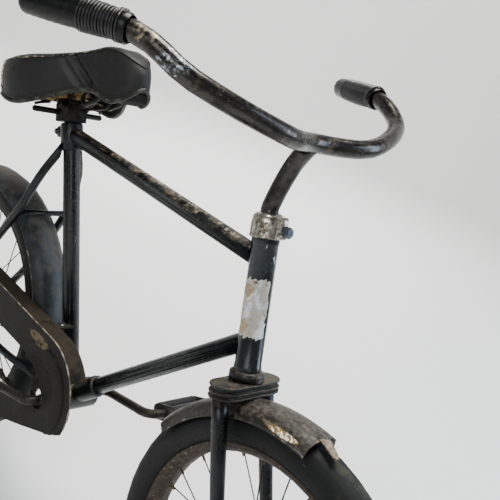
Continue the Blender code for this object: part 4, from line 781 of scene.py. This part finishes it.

# %% [markdown]
# Worn leather is black only where the dye held. The top is dusty, the nose is darker and duller,
# fine cracks show the brown below, and rubbed edges are grey-cream, darker by the nose. The inside
# was never dyed and stays tan, so the faces that look inwards get their own material, with painted
# shade under the nose and along the far side.

# %% Leather, dyed outside and raw inside
black_leather = weathered(
    "dyed_saddle_leather", "060707", 0.46,
    Layer("121312", 0.6, 30, 0.42, 0.62, lean=near(saddle_point(-30, 0, 50), mm(120, 130, 90))),
    Layer("1E1F1C", 0.75, 12, 0.56, 0.78, lean=facing(0.06, saddle_up)),
    Layer("3A3731", 0.8, 3.4, 0.70, 0.76, stretch=(1.5, 1, 1)),
    # darker, duller leather towards the nose
    Layer("020303", 0.58, 18, 0.24, 0.48, lean=near(saddle_point(135, 0, 50), mm(80, 80, 90))),
    specular=0.35, grain=(3.2, 0.20),
)
raw_leather_painted_shade = weathered(
    "raw_tan_leather_painted_shade", "7A6442", 0.85,
    Layer("B89A6A", 0.85, 9, 0.48, 0.64),
    Layer("241D15", 0.9, 14, 0.50, 0.62),
    # painted shade inside the cover: dark under the nose and along the far side
    Layer("070605", 0.9, 20, 0.10, 0.40, lean=near(saddle_point(110, 0, 20), mm(125, 130, 120))),
    Layer("0C0A08", 0.9, 20, 0.10, 0.40, lean=near(saddle_point(25, 75, 20), mm(110, 60, 110))),
    specular=0.2, grain=(2.5, 0.12),
)
inside = [f.index for f in leather.faces if f.normal.dot(f.calc_center_median() - leather_heart) < 0]
saddle_mesh = as_mesh(leather, "saddle_leather")
saddle_leather = keep(saddle_mesh, "saddle_leather", black_leather, "saddle", 60)
saddle_leather.data.materials.append(raw_leather_painted_shade)
for index in inside:
    saddle_leather.data.polygons[index].material_index = 1
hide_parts("saddle")
print("raw faces inside the saddle:", len(inside))

# %% [markdown]
# The hem is folded over a cord and sewn, and the upper edge has a raised welt. Both are wires that
# follow a ring of the plan. The leather was moved since, so each point of a ring is first dropped
# onto the nearest point of it.

# %% Leather that is rubbed, and waxed thread
worn_welt = weathered(
    "rubbed_leather_edge", "10100F", 0.5,
    Layer("7D7566", 0.75, 8, 0.52, 0.60),
    Layer("CFC6B4", 0.7, 4, 0.62, 0.67),
    # darker welt towards the nose
    Layer("060606", 0.5, 30, 0.20, 0.40, lean=near(saddle_point(135, 0, 75), mm(62, 70, 70))),
    specular=0.3, grain=(2.0, 0.08),
)
rubbed_hem = weathered(
    "rubbed_leather_hem", "0E0F0E", 0.45,
    Layer("3A3A35", 0.6, 12, 0.46, 0.62),
    Layer("7C7464", 0.7, 5, 0.64, 0.70),
    specular=0.3, grain=(2.5, 0.10),
)
rubbed_seam = weathered(
    "bare_leather_seam", "3A362F", 0.6,
    Layer("A79B85", 0.75, 7, 0.38, 0.48),
    Layer("D8CFBC", 0.7, 4, 0.52, 0.58),
    specular=0.3, grain=(2.5, 0.10),
)
waxed_thread = weathered(
    "waxed_black_thread", "151412", 0.6, Layer("3A362E", 0.8, 6, 0.52, 0.66), specular=0.3
)


# %% Hem, welt and seams
def wire(name, points, radius, material, slot, closed=False):
    """A round wire through points, made a mesh."""
    curve = bpy.data.curves.new(name, "CURVE")
    curve.dimensions = "3D"
    curve.bevel_depth = radius
    curve.bevel_resolution = 3
    curve.use_fill_caps = True
    spline = curve.splines.new("POLY")
    spline.points.add(len(points) - 1)
    for at, point in zip(spline.points, points):
        at.co = (*point, 1)
    spline.use_cyclic_u = closed
    guide = placed(name + "_guide", curve)
    bpy.context.view_layer.update()
    mesh = bpy.data.meshes.new_from_object(guide.evaluated_get(bpy.context.evaluated_depsgraph_get()))
    bpy.data.objects.remove(guide)
    mesh.name = name
    keep(mesh, name, material, slot, 60)


def smooth_loop(points, steps=5):
    """A closed ring with rounded steps between its points, by Catmull and Rom's rule."""
    made = []
    for i in range(len(points)):
        before, a, b, after = (points[(i + k) % len(points)] for k in (-1, 0, 1, 2))
        slope, square = b - before, 2 * before - 5 * a + 4 * b - after
        cube = 3 * a - before - 3 * b + after
        for t in (step / steps for step in range(steps)):
            made.append(0.5 * (2 * a + slope * t + square * t**2 + cube * t**3))
    return made


def on_leather(points, proud):
    """Each point dropped onto the leather, and raised a little, in millimetres."""
    found = [leather_surface.find_nearest(point) for point in points]
    return [place + normal * proud * MM for place, normal, _, _ in found]


REAR_CORNER = (-54, 87)  # millimetres ahead of the post and to the side
SEAM_TOP, SEAM_STEP, SEAM_STEPS = 66, 4, 15
for name, share, proud, radius, finish in (
    ("saddle_hem_roll", 0.03, 0.6, 2.8, rubbed_hem),
    ("saddle_edge_welt", 0.90, 0.3, 1.3, worn_welt),
):
    line = on_leather(smooth_loop(saddle_ring(1.0, "share", share)), proud)
    wire(name, line, radius * MM, finish, "saddle", closed=True)
    print(name, "runs through", len(line), "points")
for side, word in SIDES:
    ahead, half = REAR_CORNER
    down = [saddle_point(ahead, side * half, SEAM_TOP - SEAM_STEP * step) for step in range(SEAM_STEPS)]
    wire("saddle_corner_seam_" + word, on_leather(down, 0.4), 1.7 * MM, rubbed_seam, "saddle")

# %% The leather folded in under the nose
NOSE_FROM = 98  # millimetres ahead of the post
TUCK_INSET, TUCK_RISE = 0.96, 2.5  # share of the half width, and millimetres above the hem
tuck = bmesh.new()
hems = []
for side, _ in SIDES:
    stations = [row for row in SADDLE_PLAN if row[0] >= NOSE_FROM and row[1] > 0]
    line = [saddle_point(at, side * half * TUCK_INSET, hem + TUCK_RISE) for at, half, hem, _ in stations]
    hems.append(path(tuck, line))
bridge(tuck, hems, capped=False)
bmesh.ops.subdivide_edges(tuck, edges=tuck.edges, cuts=3, use_grid_fill=True)
nose_tuck = keep_bmesh(tuck, "saddle_nose_tuck", raw_leather_painted_shade, "saddle", 60)
nose_tuck.modifiers.new("leather", "SOLIDIFY").thickness = 2 * MM
print("nose tuck:", len(nose_tuck.data.polygons), "faces")

# %% Stitches
STITCH, STITCH_GAP, THREAD = 5.0, 3.0, 0.5  # millimetres; coarser than real ones, so that they show
thread = {"cap_ends": True, "segments": 6, "radius1": THREAD * MM, "radius2": THREAD * MM}
line = on_leather(smooth_loop(saddle_ring(1.0, "share", 0.14)), 0.3)
stitches = bmesh.new()
total, start = 0.0, 0.0
for a, b in zip(line, line[1:] + line[:1]):
    length = (b - a).length
    turn = (b - a).to_track_quat("Z", "Y").to_matrix().to_4x4()
    while start <= total + length:
        place = Matrix.Translation(a.lerp(b, (start - total) / length)) @ turn
        bmesh.ops.create_cone(stitches, depth=STITCH * MM, matrix=place, **thread)
        start += (STITCH + STITCH_GAP) * MM
    total += length
keep_bmesh(stitches, "saddle_stitches", waxed_thread, "saddle")
print("stitches along", round(total, 2), "m")

# %% [markdown]
# ## The panel on the head tube
#
# A paper transfer was stuck round the right of the head tube. Here it is a bare, cream sheet with a
# torn edge and brown stains. A grid is rolled round the tube, noise pulls its rim about, and a wall
# gives it the thickness of paper and varnish.

# %% Aged transfer paper
PANEL_FOOT, PANEL_TOP = 0.26, 0.69  # shares of the head tube's length
PANEL_TURN, PANEL_SPAN = math.radians(-62), math.radians(118)  # middle from straight ahead, width
HEAD_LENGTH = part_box("head_tube")[1].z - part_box("head_tube")[0].z


def on_head(turn, share, proud=0.0):
    """A point of the head tube, by its turn from straight ahead and its share of the length."""
    out = head_ahead * math.cos(turn) + SIDE * math.sin(turn)
    return head_foot + steering_axis * (share * HEAD_LENGTH) + out * (head_radius + proud)


STAINED_EDGE = PANEL_TURN - 0.34 * PANEL_SPAN  # the transfer's rear edge
transfer_paper = weathered(
    "torn_cream_transfer", "9C988E", 0.42,
    Layer("C6CCD2", 0.30, 9, 0.44, 0.60, stretch=(1, 1, 2)),
    Layer("8A7355", 0.6, 6, 0.26, 0.48, lean=near(on_head(STAINED_EDGE, 0.60), mm(13, 9, 15))),
    Layer("937E60", 0.6, 6, 0.26, 0.48, lean=near(on_head(STAINED_EDGE, 0.34), mm(13, 9, 15))),
    Layer("857762", 0.6, 12, 0.54, 0.68),
    Layer("55483A", 0.7, 3.2, 0.62, 0.68, stretch=(1, 1, 0.6)),
    Layer("4A3B2A", 0.7, 6, 0.64, 0.70),
    Layer("2A3036", 0.4, 5, 0.68, 0.71),
    coat=0.3, grain=(3.0, 0.06),
)

# %% A bare, torn sheet rolled round the tube
TEAR, TEAR_FROM = 0.07, 0.75  # share of the sheet by which its rim is pulled, and where that starts
sheet = bmesh.new()
bmesh.ops.create_grid(sheet, x_segments=40, y_segments=60, size=0.5)
for corner in sheet.verts:
    u, v = corner.co.x, corner.co.y
    rim = max(0, max(abs(u), abs(v)) * 2 - TEAR_FROM) / (1 - TEAR_FROM)
    tear = noise.noise(Vector((u * 9, v * 12, 4))) * TEAR * rim
    share = (PANEL_FOOT + PANEL_TOP) / 2 + (v + tear) * (PANEL_TOP - PANEL_FOOT)
    corner.co = on_head(PANEL_TURN + (u + tear) * PANEL_SPAN, share, 0.10 * MM)
bmesh.ops.recalc_face_normals(sheet, faces=sheet.faces)
if sheet.faces[0].normal.dot(sheet.faces[0].calc_center_median() - head_foot) < 0:
    bmesh.ops.reverse_faces(sheet, faces=sheet.faces)
panel_mesh = as_mesh(sheet, "head_tube_transfer")
panel = keep(panel_mesh, "head_tube_transfer", transfer_paper, "head_tube")
wall = panel.modifiers.new("paper", "SOLIDIFY")
wall.thickness, wall.offset = 0.2 * MM, 1
print("transfer:", len(panel.data.polygons), "faces")

# %% [markdown]
# ## Wheel trim
#
# Each spoke screws into a brass nipple that stands out of the rim, and a valve stem points to the
# hub. A rim without them looks bare. Circles bridged one to the next make both.

# %% Nipples and valves
SPOKES = 28
SPOKE_SHIFT = 0.37  # of the step from spoke to spoke, from straight ahead to the first one
VALVE_TURN = 19.87  # spokes from straight ahead
TO_FLANGE, CROSSING = 3, 1.4  # millimetres aside, for the hub flange and for the way of the spoke
RIM_INSIDE = wheel_radius - 53.8 * MM
NIPPLE = ((0, 2.6), (1.6, 2.6), (2.2, 1.8), (8, 1.6), (8.6, 1.2))  # millimetres along, and radius
VALVE = ((0, 5), (2.5, 5), (3, 3.2), (20, 3.2), (20.5, 4.2), (28, 4.2), (30, 2.4))
tarnished_brass = weathered(
    "tarnished_brass", "6B5A3A", 0.45,
    Layer("3A2E1E", 0.7, 4, 0.48, 0.62, 0.4),
    Layer("A58D58", 0.35, 3, 0.62, 0.70, 1.0),
    metallic=0.9,
)


def around(turn, radius):
    """A point of a wheel, as seen from its axle."""
    return Vector((math.cos(turn), 0, math.sin(turn))) * radius


def peg(bm, foot, direction, rows, segments):
    """A turned peg, bridged from circles: rows of millimetres along it, and of its radius there."""
    turn = direction.to_track_quat("Z", "Y").to_matrix().to_4x4()
    loops = []
    for along, radius in rows:
        place = Matrix.Translation(foot) @ turn @ Matrix.Translation((0, 0, along * MM))
        made = bmesh.ops.create_circle(bm, segments=segments, radius=radius * MM, matrix=place)
        loops.append(list({edge for corner in made["verts"] for edge in corner.link_edges}))
    bridge(bm, loops)


for end, axle in ENDS:
    nipples, valve = bmesh.new(), bmesh.new()
    for i in range(SPOKES):
        side, lead = i % 2 * 2 - 1, i // 2 % 2 * 2 - 1
        turn = math.tau * (i + SPOKE_SHIFT) / SPOKES
        foot = axle + around(turn, RIM_INSIDE) + SIDE * (side * TO_FLANGE + lead * CROSSING) * MM
        peg(nipples, foot, -around(turn, 1), NIPPLE, 6)
    turn = math.tau * VALVE_TURN / SPOKES
    peg(valve, axle + around(turn, RIM_INSIDE), -around(turn, 1), VALVE, 14)
    for bm, word in ((nipples, "_wheel_nipples"), (valve, "_wheel_valve")):
        keep_bmesh(bm, end + word, tarnished_brass, end + "_wheel_wires")
    print(end, "wheel has", SPOKES, "nipples and a valve")

# %% [markdown]
# ## Rolled edges and small fasteners
#
# The rim of a mudguard is rolled so that it doesn't cut, and paint wears off the roll first, which
# draws a pale line along each edge. The model's guards end plainly, so a thin wire is laid along
# the edge, over the angles that the guard's own mesh spans.

# %% Rolled edges of the guards
bare_edge = weathered(
    "rubbed_guard_edge", "1C1C1B", 0.5,
    Layer("7A7265", 0.45, 10, 0.54, 0.66, 0.5),
    Layer("3C2A1D", 0.9, 6, 0.58, 0.66),
    metallic=0.2,
)
ROLL, ROLL_STEPS = 1.3 * MM, 60
for end, axle in ENDS:
    node = end + "_mudguard"
    spots = [vertex.co - axle for vertex in nodes[node].data.vertices]
    half = max(spot.y for spot in spots)
    edge = [spot for spot in spots if spot.y > half - 0.5 * MM]
    reach = sum(math.hypot(spot.x, spot.z) for spot in edge) / len(edge)
    turns = [math.degrees(math.atan2(spot.z, spot.x)) for spot in edge]
    turns = [turn + 360 if turn < -90 else turn for turn in turns]
    first, last = math.radians(min(turns)), math.radians(max(turns))
    line = [around(first + (last - first) * i / ROLL_STEPS, reach) for i in range(ROLL_STEPS + 1)]
    for side, word in SIDES:
        aside = axle + SIDE * side * (half - ROLL / 2)
        wire(node + "_roll_" + word, [point + aside for point in line], ROLL, bare_edge, node)
    print(node, "spans", round(min(turns)), "to", round(max(turns)), "degrees")

# %% [markdown]
# The chain guard is one pressing: a ridge runs round its lobe to stiffen the flat face, and the
# corner between face and band is a pale line, worn and with a painted highlight. The ridge is a
# shallow arch, spun about the lobe's middle.

# %% The chain guard's pressed ridge
RIDGE_MIDDLE, RIDGE_HALF, RIDGE_HEIGHT = 54 * MM, 13 * MM, 2.4 * MM
RIDGE_FROM, RIDGE_TO = math.radians(135), math.radians(-28)
ARCH_STEPS, ARCH_FULLNESS = 8, 0.6
ridge = bmesh.new()
arch = []
for i in range(ARCH_STEPS + 1):
    turn = math.pi * i / ARCH_STEPS
    high = RIDGE_HEIGHT * math.sin(turn) ** ARCH_FULLNESS
    arch.append((RIDGE_MIDDLE + RIDGE_HALF * math.cos(turn), -high, 0))
path(ridge, arch, closed=True)
swing = {"axis": -SIDE, "cent": (0, 0, 0), "angle": RIDGE_FROM - RIDGE_TO, "steps": 40}
bmesh.ops.spin(ridge, geom=ridge.verts[:] + ridge.edges[:], **swing)
bmesh.ops.rotate(ridge, verts=ridge.verts, cent=(0, 0, 0), matrix=Matrix.Rotation(-RIDGE_TO, 3, "Y"))
bmesh.ops.holes_fill(ridge, edges=ridge.edges, sides=0)
bmesh.ops.translate(ridge, verts=ridge.verts, vec=case_centre)
print("ridge from x", round(min(corner.co.x for corner in ridge.verts), 3))
keep_bmesh(ridge, "chain_guard_ridge", guard_case_paint, "chain_guard", 50)

# %% The chain guard's corner, worn and with a painted highlight
corner_wear_and_highlight = weathered(
    "corner_wear_painted_highlight", "3A352D", 0.5,
    # pale patches: worn paint, and a painted highlight along the corner
    Layer("9A8E7B", 0.5, 8, 0.46, 0.60, 0.4),
    Layer("2A211A", 0.8, 4, 0.60, 0.66),
    metallic=0.2,
)
WORN_ARC = range(90, -14, -4)  # degrees up from straight ahead
corner_line = [Vector((case_low.x, case_centre.y, case_high.z))]
corner_line += [case_centre + around(math.radians(turn), 1) * CASE_LOBE for turn in WORN_ARC]
wire("chain_guard_corner", corner_line, 0.9 * MM, corner_wear_and_highlight, "chain_guard")

# %% [markdown]
# ## The collar on the head
#
# A cast collar clamps the stem. It is a dome about the steering axis, with a rounded lug ahead of
# it and a hexagon bolt screwed into the lug. Bridged circles make the dome, and the lug is a block
# bevelled on its far edges, so that light runs round it as it does on a casting.

# %% Dome and lug
collar_low, collar_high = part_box("head_collar")
collar_radius = collar_high.y
collar_rise = (collar_low.z + collar_radius * head_ahead.z - head_foot.z) / steering_axis.z
collar_foot = head_foot + steering_axis * collar_rise
DOME = (  # millimetres up the steering axis, and share of the collar's radius
    (0, 0.97), (0.6, 1.01), (2.4, 1.02), (3.2, 0.99), (12, 0.985), (19, 0.975),
    (22.5, 0.945), (25.5, 0.875), (27.5, 0.77), (28.6, 0.65), (28.9, 0.50),
)
LUG, LUG_ROUND = Vector((16, 13, 26)), 5.5  # millimetres ahead, across and up, and its bevel


def on_collar(ahead, up):
    """A place in millimetres ahead of the collar's side, and up from its foot."""
    return collar_foot + head_ahead * (collar_radius + ahead * MM) + steering_axis * (up * MM)


casting = bmesh.new()
block = bmesh.ops.create_cube(casting, size=1)["verts"]
bmesh.ops.scale(casting, vec=LUG * MM, verts=block)
far_edges = [edge for edge in casting.edges if min(corner.co.x for corner in edge.verts) > 0]
bevelled = {"offset": LUG_ROUND * MM, "segments": 5, "affect": "EDGES", "profile": 0.5, "material": -1}
bmesh.ops.bevel(casting, geom=far_edges, **bevelled)
upright = Matrix((head_ahead, SIDE, steering_axis)).transposed().to_4x4()
lug_place = Matrix.Translation(on_collar(-1, LUG.z / 2 + 0.6)) @ upright
bmesh.ops.transform(casting, matrix=lug_place, verts=casting.verts)
dome = [(up, share * collar_radius / MM) for up, share in DOME]
peg(casting, collar_foot, steering_axis, dome, 48)
collar = keep_bmesh(casting, "head_collar_casting", bright_nickel, "head_collar", 45)
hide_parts("head_collar")
print("collar foot", [round(c, 4) for c in collar_foot])

# %% The bolt, a hexagon head with a round washer under it
BOLT_RISE, BOLT_OUT = 10.5, 8.5  # millimetres up the lug, and how far the head stands out of it
WASHER = ((0, 6.6), (0.4, 7.0), (1.9, 7.0), (2.3, 6.6))
HEXAGON = ((2.2, 6.0), (2.9, 6.8), (BOLT_OUT - 1, 6.8), (BOLT_OUT, 5.6))
bolt = bmesh.new()
for rows, segments in ((WASHER, 24), (HEXAGON, 6)):
    peg(bolt, on_collar(LUG.x / 2 - 1.5, BOLT_RISE), head_ahead, rows, segments)
clamp_bolt = keep_bmesh(bolt, "head_collar_bolt", bolt_steel, "collar_bolt", 25)
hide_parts("collar_bolt")
print("bolt:", len(clamp_bolt.data.polygons), "faces")

# %% Domed screws on the chain guard's tab and clip
SCREW = ((0, 4), (0.8, 4), (1.8, 3.2), (2.3, 1.8))
for node, direction in (("chain_guard_tab", UP), ("chain_guard_clip", -SIDE)):
    low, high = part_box(node)
    screw = bmesh.new()
    peg(screw, (low + high) / 2 + direction * (high - low) / 2, direction, SCREW, 16)
    keep_bmesh(screw, node + "_screw", bolt_steel, node)
    print("screw on", node)

# %% [markdown]
# ## Floor, light and camera
#
# The wheels stand on a pale floor that bends up into a wall all round. A soft light from the
# ceiling makes the long gleams on tubes and handlebar, a cooler one comes from a window ahead on
# the left, a weak one ahead on the right opens the shadows, and the last only whitens the wall. A
# pale sky fills the rest. The camera is ahead and to the right, above the saddle and rolled.

# %% The floor
BOWL_FLAT, BOWL_BEND, BOWL_WALL = 4.5, 1.5, 3.0  # metres: flat floor, bend up to the wall, wall
BEND_STEPS = 12
floor_paint = bpy.data.materials.new("matt_floor_paint")
floor_paint.use_nodes = True
for key, value in (("Base Color", linear("F4F4F2")), ("Roughness", 0.9)):
    floor_paint.node_tree.nodes["Principled BSDF"].inputs[key].default_value = value
outline = [(0, 0, 0), (BOWL_FLAT, 0, 0)]
for i in range(1, BEND_STEPS + 1):
    turn = math.pi / 2 * i / BEND_STEPS
    outline.append((BOWL_FLAT + BOWL_BEND * math.sin(turn), 0, BOWL_BEND * (1 - math.cos(turn))))
outline.append((BOWL_FLAT + BOWL_BEND, 0, BOWL_BEND + BOWL_WALL))
bowl = bmesh.new()
path(bowl, outline)
full_turn = {"axis": UP, "cent": (0, 0, 0), "angle": math.tau, "steps": 64, "use_merge": True}
bmesh.ops.spin(bowl, geom=bowl.verts[:] + bowl.edges[:], **full_turn)
bmesh.ops.remove_doubles(bowl, verts=bowl.verts, dist=1e-5)
bmesh.ops.recalc_face_normals(bowl, faces=bowl.faces)
bmesh.ops.translate(bowl, verts=bowl.verts, vec=(0, 0, packed_box[0].z))
floor_mesh = as_mesh(bowl, "floor")
floor_mesh.shade_smooth()
floor_mesh.materials.append(floor_paint)
placed("floor", floor_mesh)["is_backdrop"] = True
print("floor at", round(packed_box[0].z, 4))


# %% Lights and sky
def lamp(name, place, target, size, power, colour):
    """A soft rectangular light that looks at its target."""
    light = bpy.data.lights.new(name, "AREA")
    light.shape = "RECTANGLE"
    light.size, light.size_y = size
    light.energy = power
    light.color = linear(colour)[:3]
    made = placed(name, light)
    made.location = place
    made.rotation_euler = (Vector(target) - made.location).to_track_quat("-Z", "Y").to_euler()


middle = (packed_box[0] + packed_box[1]) / 2
lamp("ceiling", (0.15, 0.25, 1.9), middle, (1.1, 1.1), 100, "FFFDF8")
lamp("window", (1.7, 1.6, 0.9), middle, (1.0, 1.6), 45, "DCEBFF")
lamp("front", (1.2, -2.2, 1.2), middle, (1.8, 1.2), 32, "FFFFFF")
lamp("backdrop", (-1.2, 1.6, 1.8), (-3.6, 3.8, -0.6), (1.5, 1.5), 160, "FFFFFF")
world = bpy.data.worlds.new("pale_sky")
bpy.context.scene.world = world
world.use_nodes = True
for key, value in (("Color", linear("F2F5F8")), ("Strength", 0.27)):
    world.node_tree.nodes["Background"].inputs[key].default_value = value

# %% The camera
CAMERA_AT = Vector((0.9315, -0.6531, 0.1727))
CAMERA_LOOK = Vector((-0.5872, 0.7486, -0.3078))
CAMERA_TOP = Vector((-0.4641, 0.0002, 0.8858))
look = CAMERA_LOOK.normalized()
right = look.cross(CAMERA_TOP).normalized()
lens = bpy.data.cameras.new("camera")
lens.sensor_width, lens.lens = 36, 53.54
camera = placed("camera", lens)
turned = Matrix((right, right.cross(look), -look)).transposed().to_4x4()
camera.matrix_world = Matrix.Translation(CAMERA_AT) @ turned
bpy.context.scene.camera = camera

# %% [markdown]
# ## Measure and finish
#
# How far each side of the bicycle's box moved with what was added is printed. What was added
# must not make the bicycle bigger.

# %% Sizes, and the end
dressed_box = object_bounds()
pairs = [pair for boxes in zip(packed_box, dressed_box) for pair in zip(*boxes)]
print("sides of the box moved by", [round(abs(a - b) / MM, 2) for a, b in pairs], "mm")
